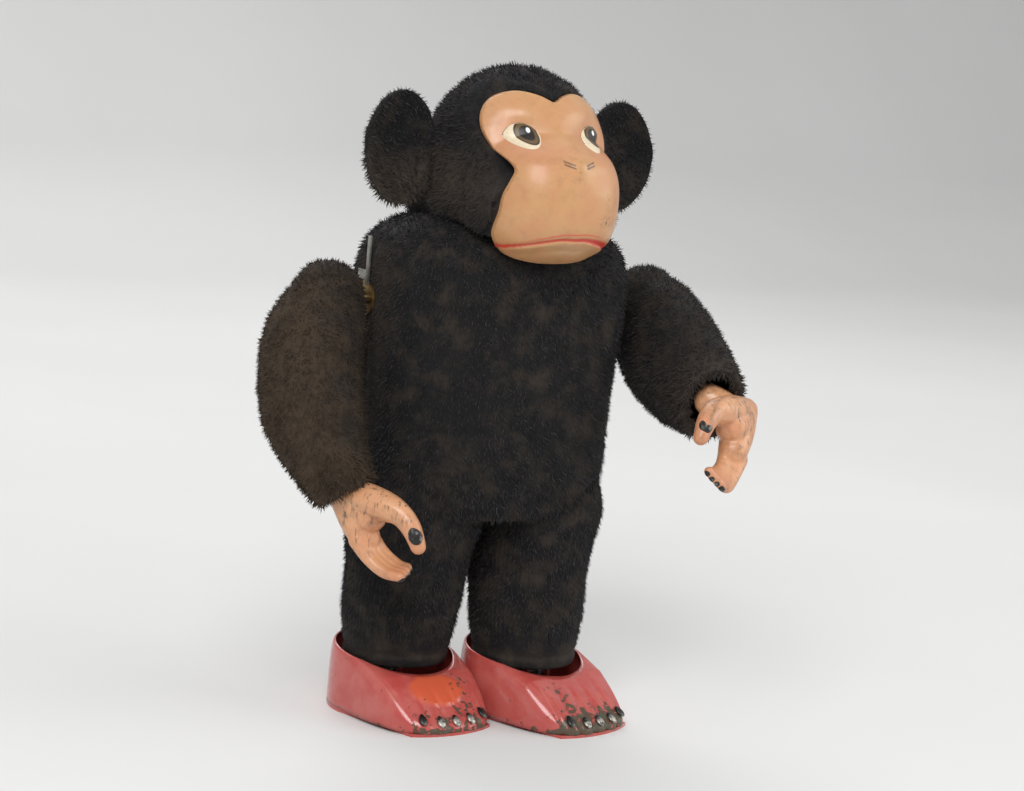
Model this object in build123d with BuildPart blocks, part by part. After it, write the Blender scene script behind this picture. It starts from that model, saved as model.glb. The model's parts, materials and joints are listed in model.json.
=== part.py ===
from build123d import *
import os
from math import atan, cos, degrees, pi, radians, sin, tan

# Wind-up walking chimpanzee: pressed tin head, hands and feet over a plush covered
# body, with a spring motor inside. Millimetres, +Z up, floor at Z = 0, facing -Y.
# The figure's right side is -X. Every piece stands where it is at rest.

# ---- Overall figure ----
HEIGHT = 175.0
TIN = 0.5  # pressed tin sheet
PLUSH = 3.0  # pile and backing over the tin
RUNNING = 0.05  # radial clearance of a turning fit
PIVOT_R = 1.5  # radius of the hip, ankle and shoulder pins

# ---- Walking linkage ----
HIP_Z = 72.0
SHOULDER_Z = 112.0
ROCKER_Z = 126.0
ANKLE_Z = 10.2
LEVER_X = 20.5
CRANK_X = 24.5
ROCKER_SWING = 12.0  # degrees either side of the middle of the stroke
STRIP = 0.8  # thickness of levers and plates
SLOT_W = 2.6  # forks that take the 2 mm rocker pins
LEG_SWING = degrees(atan(LEVER_X * tan(radians(ROCKER_SWING)) / (ROCKER_Z - HIP_Z)))
ARM_SWING = degrees(atan(CRANK_X * tan(radians(ROCKER_SWING)) / (ROCKER_Z - SHOULDER_Z)))
LEG_LENGTH = (HIP_Z - ANKLE_Z) / cos(radians(LEG_SWING))
STRIDE = LEG_LENGTH * sin(radians(LEG_SWING))  # each foot ahead of or behind the hips

# ---- Motor ----
PLATE_Y = 8.8  # inner face of each motor plate
PLATE_W = 35.0
PLATE_LOW = 70.0
PLATE_TOP = 118.0
MODULE = 0.6
GREAT_Z = 85.0
SECOND_Z = GREAT_Z + MODULE * (32 + 8) / 2
CRANK_Z = SECOND_Z + MODULE * (30 + 10) / 2
FLY_ANGLE = 210.0
FLY_DISTANCE = MODULE * (24 + 8) / 2
FLY_X = FLY_DISTANCE * cos(radians(FLY_ANGLE))
FLY_Z = CRANK_Z + FLY_DISTANCE * sin(radians(FLY_ANGLE))
ARBOR_R = 1.0
WINDING_R = 1.5
CRANK_THROW = 3.1
DROP_Y = -14.5  # inner face of the rocker's drop arm
PILLAR_X = 15.0
PILLAR_ZS = (73.5, 114.5)

# ---- Body ----
# Height, half width and half depth of the plush surface, from the hem to the neck.
TORSO = (
    (64.5, 34.5, 26.0),
    (82.0, 35.2, 26.5),
    (100.0, 36.8, 27.0),
    (114.0, 37.0, 27.0),
    (127.0, 36.5, 26.0),
    (132.0, 31.0, 22.5),
    (134.0, 20.0, 15.0),
)
SHOULDERS_FROM = 120.0
HEAD_Y = -6.5
HEAD_Z = 148.0
HEAD_R = 25.0
HEAD_RISE = HEIGHT - HEAD_Z
HEAD_CUT = 134.6
MUZZLE_Z = 143.0
MUZZLE_R = 18.0
BROW_X = 7.5
BROW_Z = 158.5
BROW_R = 11.0
LEG_X = 17.5
HEM_Z = 14.0
WAIST_Z = 60.0
NECK_R = 10.6

# ---- Feet ----
HEEL_R = 17.2
TOE_Y = -30.5
TOE_HALF = 13.0
COUNTER_TOP = 18.5
OPENING_R = 15.8
TOE_OUT = {"right": 8.0, "left": 16.0}  # degrees each foot is turned towards the figure's left

SIDES = (("right", -1), ("left", 1))

os.makedirs("parts", exist_ok=True)


def finish(piece, name, axis=None, angle=0.0):
    """Turn a finished piece from mid-stroke to its rest position, label it and write it."""
    posed = piece.part if axis is None else piece.part.rotate(axis, angle)
    posed.label = name
    export_step(posed, f"parts/{name}.step")


def across(y):
    """The plane facing -Y at this Y, where local x is +X and local y is +Z."""
    return Plane.XZ.offset(-y)


def behind(x, y, z):
    """The plane facing -Y through this point, with the point as its local origin."""
    return Plane(origin=(x, y, z), x_dir=(1, 0, 0), z_dir=(0, -1, 0))


def sideways(x):
    """The plane facing +X at this X, where local x is +Y and local y is +Z."""
    return Plane.YZ.offset(x)


def rod_y(x, z, radius, y0, y1, mode=Mode.ADD):
    """A round bar along Y from y0 back to y1."""
    with BuildSketch(across(y1)) as section:
        with Locations((x, z)):
            Circle(radius)
    extrude(section.sketch, amount=y1 - y0, mode=mode)


def rod_x(y, z, radius, x0, x1, mode=Mode.ADD):
    """A round bar along X from x0 to x1."""
    low, high = min(x0, x1), max(x0, x1)
    with BuildSketch(sideways(low)) as section:
        with Locations((y, z)):
            Circle(radius)
    extrude(section.sketch, amount=high - low, mode=mode)


def toothed(teeth, phase=0.0):
    """A gear's outline in the current sketch, one tooth pointing at the phase angle."""
    pitch_r = MODULE * teeth / 2
    root_r = pitch_r - 1.15 * MODULE
    tip_r = pitch_r + 0.8 * MODULE
    step = 2 * pi / teeth
    corners = []
    for tooth in range(teeth):
        middle = radians(phase) + tooth * step
        for share, radius in ((-0.22, root_r), (-0.08, tip_r), (0.08, tip_r), (0.22, root_r)):
            angle = middle + share * step
            corners.append((radius * cos(angle), radius * sin(angle)))
    with BuildLine() as outline:
        Polyline(*corners, close=True)
    make_face(outline.line)


def gear(x, z, y0, y1, teeth, phase, bore=0.0):
    """A gear on an arbor along Y, from y0 back to y1."""
    with BuildSketch(behind(x, y1, z)) as section:
        toothed(teeth, phase)
        if bore:
            Circle(bore, mode=Mode.SUBTRACT)
    extrude(section.sketch, amount=y1 - y0)


# ======================= Motor frame =======================

PLATE_HOLES = (
    (0, GREAT_Z, WINDING_R),
    (0, SECOND_Z, ARBOR_R),
    (0, CRANK_Z, ARBOR_R),
    (FLY_X, FLY_Z, ARBOR_R),
)
PILLAR_SPOTS = [(sx * PILLAR_X, z) for sx in (-1, 1) for z in PILLAR_ZS]
SCREW_R = 0.8

for plate_name, plate_back in (("front_plate", -PLATE_Y), ("rear_plate", PLATE_Y + STRIP)):
    with BuildPart() as motor_plate:
        with BuildSketch(across(plate_back)):
            with Locations((0, (PLATE_LOW + PLATE_TOP) / 2)):
                RectangleRounded(PLATE_W, PLATE_TOP - PLATE_LOW, 2)
            for hole_x, hole_z, hole_r in PLATE_HOLES:
                with Locations((hole_x, hole_z)):
                    Circle(hole_r + RUNNING, mode=Mode.SUBTRACT)
            with Locations(*PILLAR_SPOTS):
                Circle(SCREW_R, mode=Mode.SUBTRACT)
            with Locations((9.5, 96)):
                SlotCenterToCenter(10, 5, rotation=90, mode=Mode.SUBTRACT)
        extrude(amount=STRIP)
    finish(motor_plate, plate_name)

with BuildPart() as frame_pillars:
    with BuildSketch(across(PLATE_Y)):
        with Locations(*PILLAR_SPOTS):
            Circle(2.0)
            Circle(SCREW_R, mode=Mode.SUBTRACT)
    extrude(amount=2 * PLATE_Y)
finish(frame_pillars, "frame_pillars")

with BuildPart() as frame_screws:
    for pillar_x, pillar_z in PILLAR_SPOTS:
        for face_y, way in ((-PLATE_Y - STRIP, 1), (PLATE_Y + STRIP, -1)):
            shank_end = face_y + way * 4.0
            head_end = face_y - way * 1.0
            rod_y(pillar_x, pillar_z, SCREW_R, min(face_y, shank_end), max(face_y, shank_end))
            rod_y(pillar_x, pillar_z, 1.7, min(face_y, head_end), max(face_y, head_end))
finish(frame_screws, "frame_screws")

BUSH_R = 2.6
with BuildPart() as rocker_bridge:
    with BuildSketch(Plane.XY.offset(PLATE_TOP)):
        RectangleRounded(14, 2 * (PLATE_Y + STRIP), 2)
    extrude(amount=STRIP)
    with BuildSketch(Plane.XY.offset(PLATE_TOP - 2.2)):
        Circle(BUSH_R)
    extrude(amount=5.6)
    with BuildSketch(Plane.XY.offset(PLATE_TOP - 3)):
        Circle(PIVOT_R + RUNNING)
    extrude(amount=8, mode=Mode.SUBTRACT)
finish(rocker_bridge, "rocker_bridge")

EAR_X = PLATE_W / 2 + 0.1
with BuildPart() as hip_channel:
    with BuildSketch(Plane.XY.offset(PLATE_LOW - STRIP)):
        Rectangle(2 * (EAR_X + STRIP), 2 * (PLATE_Y + STRIP))
        with Locations((0, 0)):
            RectangleRounded(16, 8, 2, mode=Mode.SUBTRACT)
    extrude(amount=STRIP)
    for _, sign in SIDES:
        ear_low = min(sign * EAR_X, sign * (EAR_X + STRIP))
        with BuildSketch(sideways(ear_low)):
            with Locations((0, (PLATE_LOW + HIP_Z + 4) / 2)):
                RectangleRounded(11, HIP_Z + 4 - PLATE_LOW, 1.2)
            with Locations((0, PLATE_LOW)):
                Rectangle(11, 1.5)
            with Locations((0, HIP_Z)):
                Circle(PIVOT_R, mode=Mode.SUBTRACT)
        extrude(amount=STRIP)
finish(hip_channel, "hip_channel")

with BuildPart() as hip_pins:
    for _, sign in SIDES:
        rod_x(0, HIP_Z, PIVOT_R, sign * EAR_X, sign * (LEVER_X + 1.0))
        rod_x(0, HIP_Z, 2.6, sign * (EAR_X + STRIP), sign * (LEVER_X - STRIP / 2 - 0.1))
        rod_x(0, HIP_Z, 2.6, sign * (LEVER_X + STRIP / 2 + 0.1), sign * (LEVER_X + 1.3))
finish(hip_pins, "hip_pins")

# ======================= Spring and winding arbor =======================

SPRING_Y = 5.0
SPRING_W = 3.2
SPRING_TURNS = 5
SPRING_IN = 2.2
SPRING_PITCH = 1.25
SPRING_GAUGE = 0.45


def spiral(extra):
    """Points along the mainspring, at its inner face or, with its gauge added, its outer face."""
    points = []
    for k in range(12 * SPRING_TURNS + 1):
        radius = SPRING_IN + extra + SPRING_PITCH * k / 12
        points.append((radius * cos(k * pi / 6), radius * sin(k * pi / 6)))
    return points


with BuildPart() as mainspring:
    with BuildSketch(behind(0, SPRING_Y + SPRING_W, GREAT_Z)):
        inner_run = spiral(0)
        outer_run = spiral(SPRING_GAUGE)
        with BuildLine():
            Spline(*inner_run)
            Line(inner_run[-1], outer_run[-1])
            Spline(*reversed(outer_run))
            Line(outer_run[0], inner_run[0])
        make_face()
    extrude(amount=SPRING_W)
finish(mainspring, "mainspring")

KEY_STEM_Y = 33.0
with BuildPart() as winding_arbor:
    rod_y(0, GREAT_Z, WINDING_R, -PLATE_Y - STRIP - 1.2, KEY_STEM_Y)
    rod_y(0, GREAT_Z, 2.6, PLATE_Y + STRIP + 0.2, PLATE_Y + STRIP + 1.4)
finish(winding_arbor, "winding_arbor")

RATCHET_R = 4.6
RATCHET_TEETH = 12
with BuildPart() as ratchet_wheel:
    with BuildSketch(behind(0, 2.6, GREAT_Z)):
        saw = []
        for tooth in range(RATCHET_TEETH):
            start = 2 * pi * tooth / RATCHET_TEETH
            saw.append((RATCHET_R * cos(start), RATCHET_R * sin(start)))
            saw.append(((RATCHET_R - 1) * cos(start + 0.04), (RATCHET_R - 1) * sin(start + 0.04)))
        with BuildLine():
            Polyline(*saw, close=True)
        make_face()
        Circle(WINDING_R, mode=Mode.SUBTRACT)
    extrude(amount=1.2)
finish(ratchet_wheel, "ratchet_wheel")

CLICK_ANGLE = 90 + 15.0
CLICK_R = 7.0
CLICK_X = CLICK_R * cos(radians(CLICK_ANGLE))
CLICK_Z = GREAT_Z + CLICK_R * sin(radians(CLICK_ANGLE))
with BuildPart() as great_wheel:
    gear(0, GREAT_Z, 3.0, 4.2, 32, 0, WINDING_R + RUNNING)
    with BuildSketch(across(4.2)):
        with Locations((0, GREAT_Z)):
            with PolarLocations(6.6, 4, start_angle=0):
                Circle(1.5)
    extrude(amount=1.2, mode=Mode.SUBTRACT)
    rod_y(CLICK_X, CLICK_Z, 0.6, 1.2, 3.6)
finish(great_wheel, "great_wheel")

with BuildPart() as click:
    with BuildSketch(behind(CLICK_X, 2.5, CLICK_Z)):
        Circle(1.2)
        with BuildLine():
            Polyline((0, 1.1), (4.3, -0.9), (3.9, -1.5), (0, -1.1), close=True)
        make_face()
        Circle(0.6 + RUNNING, mode=Mode.SUBTRACT)
    extrude(amount=1.0)
finish(click, "click")

KEY_SPAN = 22.0
KEY_Y = 30.0
KEY_END = 58.0
with BuildPart() as winding_key:
    rod_y(0, GREAT_Z, 3.0, KEY_Y, KEY_Y + 9)
    with BuildSketch(sideways(-0.7)):
        with Locations((KEY_Y + 8.5 + (KEY_END - KEY_Y - 8.5) / 2, GREAT_Z)):
            RectangleRounded(KEY_END - KEY_Y - 8.5, KEY_SPAN, 5.5)
        with Locations((KEY_Y + 19.5, GREAT_Z + 5.5), (KEY_Y + 19.5, GREAT_Z - 5.5)):
            Circle(2.8, mode=Mode.SUBTRACT)
    extrude(amount=1.4)
    rod_y(0, GREAT_Z, WINDING_R, KEY_Y, KEY_STEM_Y, mode=Mode.SUBTRACT)
finish(winding_key, "winding_key")

# ======================= Train, crank and governor =======================

with BuildPart() as second_arbor:
    rod_y(0, SECOND_Z, ARBOR_R, -PLATE_Y - STRIP, PLATE_Y + STRIP)
    gear(0, SECOND_Z, 2.6, 4.6, 8, 22.5)
finish(second_arbor, "second_arbor")

with BuildPart() as second_wheel:
    gear(0, SECOND_Z, -1.2, 0.0, 30, 0, ARBOR_R)
finish(second_wheel, "second_wheel")

with BuildPart() as crank_arbor:
    rod_y(0, CRANK_Z, ARBOR_R, -PLATE_Y - STRIP - 1.6, PLATE_Y + STRIP)
    gear(0, CRANK_Z, -1.8, 0.6, 10, 18)
finish(crank_arbor, "crank_arbor")

with BuildPart() as crank_wheel:
    gear(0, CRANK_Z, -4.4, -3.2, 24, 0, ARBOR_R)
finish(crank_wheel, "crank_wheel")

CRANK_FACE = -PLATE_Y - STRIP - 0.6
with BuildPart() as crank_disc:
    rod_y(0, CRANK_Z, 5.0, CRANK_FACE - 1.0, CRANK_FACE)
    rod_y(0, CRANK_Z, ARBOR_R, CRANK_FACE - 1.0, CRANK_FACE, mode=Mode.SUBTRACT)
    rod_y(CRANK_THROW, CRANK_Z, 1.0, -12.6, CRANK_FACE - 0.5)
finish(crank_disc, "crank_disc")

with BuildPart() as fly_arbor:
    rod_y(FLY_X, FLY_Z, ARBOR_R, -PLATE_Y - STRIP, PLATE_Y + STRIP)
    gear(FLY_X, FLY_Z, -4.8, -2.8, 8, 7.5)
finish(fly_arbor, "fly_arbor")

with BuildPart() as fly_fan:
    rod_y(FLY_X, FLY_Z, 1.6, 3.5, 7.5)
    with BuildSketch(across(7.5)):
        with Locations((FLY_X, FLY_Z)):
            Rectangle(8.6, 0.7)
    extrude(amount=4)
    rod_y(FLY_X, FLY_Z, ARBOR_R, 3.5, 7.5, mode=Mode.SUBTRACT)
finish(fly_fan, "fly_fan")

# ======================= Rocker =======================

ROCKER_AXIS = Axis((0, 0, ROCKER_Z), (0, 0, 1))
BAR_HALF = 18.6
with BuildPart() as rocker_shaft:
    with BuildSketch(Plane.XY.offset(PLATE_TOP - 3.6)):
        Circle(PIVOT_R)
    extrude(amount=ROCKER_Z + 2 - PLATE_TOP + 3.6)
finish(rocker_shaft, "rocker_shaft", ROCKER_AXIS, ROCKER_SWING)

with BuildPart() as rocker_bar:
    with BuildSketch(Plane.XY.offset(ROCKER_Z - STRIP / 2)):
        Rectangle(2 * BAR_HALF, 5)
        with Locations((0, DROP_Y / 2)):
            Rectangle(7, -DROP_Y + 2 * STRIP)
    extrude(amount=STRIP)
    with BuildSketch(Plane.XY.offset(ROCKER_Z - 3.4)):
        Circle(3.2)
    extrude(amount=5)
    with BuildSketch(across(DROP_Y)):
        with Locations((0, (CRANK_Z - 6 + ROCKER_Z + STRIP / 2) / 2)):
            Rectangle(7, ROCKER_Z + STRIP / 2 - CRANK_Z + 6)
        with Locations((0, CRANK_Z)):
            SlotOverall(10, SLOT_W, rotation=90, mode=Mode.SUBTRACT)
    extrude(amount=STRIP)
    for _, sign in SIDES:
        rod_x(0, ROCKER_Z, 1.0, sign * 17, sign * 26.2)
    with BuildSketch(Plane.XY.offset(ROCKER_Z - 4)):
        Circle(PIVOT_R)
    extrude(amount=8, mode=Mode.SUBTRACT)
finish(rocker_bar, "rocker_bar", ROCKER_AXIS, ROCKER_SWING)

# ======================= Legs =======================


def leg_axis():
    """The hip pins' axis."""
    return Axis((0, 0, HIP_Z), (1, 0, 0))


TROUSER = ((HEM_Z, 14.8, 14.4), (30.0, 15.4, 15.4), (46.0, 15.8, 17.5), (WAIST_Z, 16.2, 20.0))
TROUSER_WALL = 2.6
for side, sign in SIDES:
    swing = -sign * LEG_SWING
    with BuildPart() as leg_lever:
        with BuildSketch(sideways(sign * LEVER_X - STRIP / 2)):
            with Locations((0, (ROCKER_Z + 2 + HIP_Z - LEG_LENGTH - 4) / 2)):
                RectangleRounded(8, ROCKER_Z + 2 - HIP_Z + LEG_LENGTH + 4, 2)
            with Locations((0, ROCKER_Z - 1.5)):
                Rectangle(SLOT_W, 8, mode=Mode.SUBTRACT)
            with Locations((0, HIP_Z), (0, HIP_Z - LEG_LENGTH)):
                Circle(PIVOT_R + RUNNING, mode=Mode.SUBTRACT)
        extrude(amount=STRIP)
    finish(leg_lever, f"leg_lever_{side}", leg_axis(), swing)

    with BuildPart() as trouser:
        for grow, how in ((0.0, Mode.ADD), (TROUSER_WALL, Mode.SUBTRACT)):
            for z, half_x, half_y in TROUSER:
                with BuildSketch(Plane.XY.offset(z)):
                    with Locations((sign * LEG_X, 0)):
                        Ellipse(half_x - grow, half_y - grow)
            loft(ruled=True, mode=how)
    finish(trouser, f"trouser_{side}", leg_axis(), swing)

# ======================= Feet =======================

SOLE = 0.8


def foot_outline(inset):
    """The foot's plan in the current sketch: a round heel that narrows to the toes."""
    heel = HEEL_R - inset
    toe = TOE_HALF - inset
    with BuildLine() as outline:
        Polyline((-heel, 0), (-toe - 1.5, TOE_Y * 0.6), (-toe, TOE_Y + 3 + inset))
        Line((toe, TOE_Y + 3 + inset), (toe + 1.5, TOE_Y * 0.6))
        Line((toe + 1.5, TOE_Y * 0.6), (heel, 0))
        ThreePointArc((heel, 0), (0, heel), (-heel, 0))
        ThreePointArc((-toe, TOE_Y + 3 + inset), (0, TOE_Y + inset), (toe, TOE_Y + 3 + inset))
    make_face(outline.line)


def foot_side(drop):
    """The foot's side view: toes, sloping instep, and the counter rising behind the heel."""
    with BuildLine() as outline:
        Polyline(
            (TOE_Y - 1, 0),
            (TOE_Y - 1, 4.0 - drop),
            (TOE_Y + 4, 5.6 - drop),
            (TOE_Y + 14, 13.4 - drop),
            (HEEL_R + 1, COUNTER_TOP - drop),
            (HEEL_R + 1, 0),
            close=True,
        )
    make_face(outline.line)


def foot_floor(sign, z, turn):
    """A level plane through a foot, centred under its ankle, turned about the upright."""
    return Plane(origin=(sign * LEG_X, -sign * STRIDE, z), x_dir=(cos(turn), sin(turn), 0))


def foot_flank(sign, offset, turn):
    """An upright plane along a foot, this far to one side of its middle."""
    middle = (sign * LEG_X + offset * cos(turn), -sign * STRIDE + offset * sin(turn), 0)
    return Plane(origin=middle, x_dir=(-sin(turn), cos(turn), 0), z_dir=(cos(turn), sin(turn), 0))


for side, sign in SIDES:
    foot_y = -sign * STRIDE
    lever_gap = sign * (LEVER_X - LEG_X)
    turn = radians(TOE_OUT[side])

    with BuildPart() as foot_hollow:
        with BuildSketch(foot_floor(sign, SOLE, turn)):
            foot_outline(TIN)
        extrude(amount=COUNTER_TOP)
        with BuildSketch(foot_flank(sign, -HEEL_R - 1, turn)):
            foot_side(TIN)
        extrude(amount=2 * HEEL_R + 2, mode=Mode.INTERSECT)

    with BuildPart() as foot_upper:
        with BuildSketch(foot_floor(sign, SOLE, turn)):
            foot_outline(0)
        extrude(amount=COUNTER_TOP)
        with BuildSketch(foot_flank(sign, -HEEL_R - 1, turn)):
            foot_side(0)
        extrude(amount=2 * HEEL_R + 2, mode=Mode.INTERSECT)
        add(foot_hollow.part, mode=Mode.SUBTRACT)
        with BuildSketch(foot_floor(sign, SOLE, turn)):
            Circle(OPENING_R)
        extrude(amount=COUNTER_TOP + 2, mode=Mode.SUBTRACT)
    finish(foot_upper, f"foot_upper_{side}")

    with BuildPart() as foot_sole:
        with BuildSketch(foot_floor(sign, 0, turn)):
            foot_outline(0)
        extrude(amount=SOLE)
        for ear in (-3.4, 3.4):
            with BuildSketch(foot_flank(sign, lever_gap + ear - STRIP / 2, 0)):
                with Locations((0, (ANKLE_Z + 3) / 2)):
                    Rectangle(7, ANKLE_Z + 3)
                with Locations((0, ANKLE_Z)):
                    Circle(PIVOT_R, mode=Mode.SUBTRACT)
            extrude(amount=STRIP)
    finish(foot_sole, f"foot_sole_{side}")

    with BuildPart() as ankle_pin:
        pin_middle = sign * LEVER_X
        rod_x(foot_y, ANKLE_Z, PIVOT_R, pin_middle - 4.6, pin_middle + 4.6)
        for way in (-1, 1):
            rod_x(foot_y, ANKLE_Z, 2.3, pin_middle + way * 3.8, pin_middle + way * 4.6)
    finish(ankle_pin, f"ankle_pin_{side}")

# ======================= Torso =======================

SHELL_INSET = PLUSH + 0.1
BUSH_OUT = 37.9
SPACERS = ((-12.0, 76.0), (12.0, 76.0), (-12.0, 111.0), (12.0, 111.0))
SPACER_END = 21.0
EYELET_R = 3.2


def torso_form(inset, mode=Mode.ADD):
    """The body's form, drawn in by the inset and lowered by it over the shoulders."""
    rings = []
    for z, half_x, half_y in TORSO:
        level = z - inset if z > SHOULDERS_FROM else z
        with BuildSketch(Plane.XY.offset(level)) as ring:
            Ellipse(half_x - inset, half_y - inset)
        rings.append(ring.sketch.face())
    loft(rings, ruled=True, mode=mode)


def torso_holes():
    """Openings in the body for the shoulder bushes, the key and the neck."""
    rod_x(0, SHOULDER_Z, EYELET_R, -40, 40, mode=Mode.SUBTRACT)
    rod_y(0, GREAT_Z, EYELET_R, 15, 40, mode=Mode.SUBTRACT)
    with BuildSketch(Plane.XY.offset(122)) as neck:
        Circle(NECK_R)
    extrude(neck.sketch, amount=20, mode=Mode.SUBTRACT)


for name, kept in (("torso_shell_front", Keep.TOP), ("torso_shell_rear", Keep.BOTTOM)):
    with BuildPart() as torso_shell:
        torso_form(SHELL_INSET)
        torso_form(SHELL_INSET + TIN, Mode.SUBTRACT)
        torso_holes()
        split(bisect_by=Plane.XZ, keep=kept)
    finish(torso_shell, name)

with BuildPart() as torso_plush:
    torso_form(0)
    torso_form(PLUSH, Mode.SUBTRACT)
    torso_holes()
finish(torso_plush, "torso_plush")

with BuildPart() as shell_spacers:
    for spot_x, spot_z in SPACERS:
        for near, far in ((PLATE_Y + STRIP, SPACER_END), (-SPACER_END, -PLATE_Y - STRIP)):
            rod_y(spot_x, spot_z, 1.8, near, far)
finish(shell_spacers, "shell_spacers")

with BuildPart() as key_eyelet:
    rod_y(0, GREAT_Z, EYELET_R, 21.0, 27.6)
    rod_y(0, GREAT_Z, 5.0, 26.8, 27.6)
    rod_y(0, GREAT_Z, WINDING_R + 0.4, 20, 30, mode=Mode.SUBTRACT)
finish(key_eyelet, "key_eyelet")

for side, sign in SIDES:
    with BuildPart() as shoulder_bush:
        rod_x(0, SHOULDER_Z, EYELET_R, sign * 31.5, sign * BUSH_OUT)
        rod_x(0, SHOULDER_Z, 4.6, sign * 37.2, sign * BUSH_OUT)
        rod_x(0, SHOULDER_Z, PIVOT_R + RUNNING, sign * 30, sign * 40, mode=Mode.SUBTRACT)
    finish(shoulder_bush, f"shoulder_bush_{side}")

STRAP_GAUGE = 0.5
STRAP_W = 1.4
STRAP_X = -BUSH_OUT - STRAP_GAUGE
STRAP_Y = -1.5
STRAP_LOW = 115.5
STRAP_TOP = 128.4
TAB_Z = 118.1
with BuildPart() as shoulder_strap:
    with BuildSketch(sideways(STRAP_X)):
        with Locations((STRAP_Y, (STRAP_LOW + STRAP_TOP) / 2)):
            Rectangle(STRAP_W, STRAP_TOP - STRAP_LOW)
        with Locations((STRAP_Y + 2.3, TAB_Z)):
            Rectangle(5.0, 2.6)
    extrude(amount=STRAP_GAUGE)
finish(shoulder_strap, "shoulder_strap_right")

# ======================= Head =======================


def head_form(radius, rise, mode=Mode.ADD):
    """The skull: an egg of revolution about the upright through its middle."""
    with BuildSketch(behind(0, HEAD_Y, HEAD_Z)) as half:
        Ellipse(radius, rise)
        with Locations((-radius / 2 - 1, 0)):
            Rectangle(radius + 2, 2 * rise + 2, mode=Mode.SUBTRACT)
    revolve(half.sketch, axis=Axis((0, HEAD_Y, 0), (0, 0, 1)), mode=mode)


def dome(x, z, radius, back_y, wall_y, front_y, inset, mode=Mode.ADD):
    """A drum along Y whose front is domed, drawn in by the inset."""
    lip = radius - inset
    nose = wall_y - front_y - inset
    with BuildSketch(Plane(origin=(x, 0, z), x_dir=(0, -1, 0), z_dir=(-1, 0, 0))) as half:
        with BuildLine():
            Line((-back_y, 0), (-back_y, lip))
            Line((-back_y, lip), (-wall_y, lip))
            EllipticalCenterArc((-wall_y, 0), nose, lip, start_angle=0, arc_size=90)
            Line((-wall_y + nose, 0), (-back_y, 0))
        make_face()
    revolve(half.sketch, axis=Axis((x, 0, z), (0, 1, 0)), mode=mode)


def mask_form(inset, mode=Mode.ADD):
    """The face: a domed muzzle under two brow lobes, drawn in by the inset."""
    dome(0, MUZZLE_Z, MUZZLE_R, -20.5, -31.0, -42.0, inset, mode)
    for way in (-1, 1):
        dome(way * BROW_X, BROW_Z, BROW_R, -20.5, -24.5, -30.5, inset, mode)


def below_head(y_front, z_top, mode=Mode.SUBTRACT):
    """Clear everything under this height and behind this depth."""
    with BuildSketch(Plane.XY.offset(z_top - 40)) as under:
        with Locations((0, y_front + 60)):
            Rectangle(120, 120)
    extrude(under.sketch, amount=40, mode=mode)


with BuildPart() as neck_plate:
    with BuildSketch(Plane.XY.offset(HEAD_CUT + 0.6)):
        with Locations((0, HEAD_Y)):
            Circle(17.0)
        Circle(NECK_R - 0.3, mode=Mode.SUBTRACT)
    extrude(amount=TIN)
    with BuildSketch(Plane.XY.offset(126.5)):
        Circle(NECK_R - 0.3)
        Circle(NECK_R - 0.8, mode=Mode.SUBTRACT)
    extrude(amount=HEAD_CUT + 0.6 + TIN - 126.5)
finish(neck_plate, "neck_plate")

with BuildPart() as head_shell:
    head_form(HEAD_R - SHELL_INSET, HEAD_RISE - SHELL_INSET)
    head_form(HEAD_R - SHELL_INSET - TIN, HEAD_RISE - SHELL_INSET - TIN, Mode.SUBTRACT)
    below_head(-60, HEAD_CUT + 0.6)
    with BuildSketch(across(-20.0)):
        with Locations((0, HEAD_Z)):
            Rectangle(80, 80)
    extrude(amount=30, mode=Mode.SUBTRACT)
finish(head_shell, "head_shell")

with BuildPart() as face_mask:
    mask_form(0)
    mask_form(TIN, Mode.SUBTRACT)
    below_head(-27.5, 135.2)
finish(face_mask, "face_mask")

COLLAR_R = 20.6
COLLAR_Z = 142.0
COLLAR_FRONT = -31.0
COLLAR_LOW_BACK = -27.6
CHEEK_TOP = 152.0
with BuildPart() as collar:
    rod_y(0, COLLAR_Z, COLLAR_R, COLLAR_FRONT, HEAD_Y)
    below_head(COLLAR_LOW_BACK, HEAD_CUT)
    with BuildSketch(Plane.XY.offset(CHEEK_TOP)) as brow_cut:
        Rectangle(80, 80)
    extrude(brow_cut.sketch, amount=20, mode=Mode.SUBTRACT)

with BuildPart() as head_plush:
    head_form(HEAD_R, HEAD_RISE)
    below_head(-60, HEAD_CUT)
    add(collar.part)
    head_form(HEAD_R - PLUSH, HEAD_RISE - PLUSH, Mode.SUBTRACT)
    mask_form(-0.1, Mode.SUBTRACT)
finish(head_plush, "head_plush")

EAR_MIDDLE = (32.8, -4.0, 152.0)
for side, sign in SIDES:
    with BuildPart() as ear_piece:
        with BuildSketch(across(EAR_MIDDLE[1] + 3)):
            with Locations((sign * EAR_MIDDLE[0], EAR_MIDDLE[2])):
                Ellipse(10.5, 15.0)
        extrude(amount=6)
        head_form(HEAD_R + 0.1, HEAD_RISE + 0.1, Mode.SUBTRACT)
        with Locations((sign * (EAR_MIDDLE[0] + 1), EAR_MIDDLE[1] - 22.5, EAR_MIDDLE[2])):
            Sphere(23, mode=Mode.SUBTRACT)
    finish(ear_piece, f"ear_{side}")

# ======================= Arms =======================

SHOULDER_AXIS = Axis((0, 0, SHOULDER_Z), (1, 0, 0))
AXLE_OUT = 47.0
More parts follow.
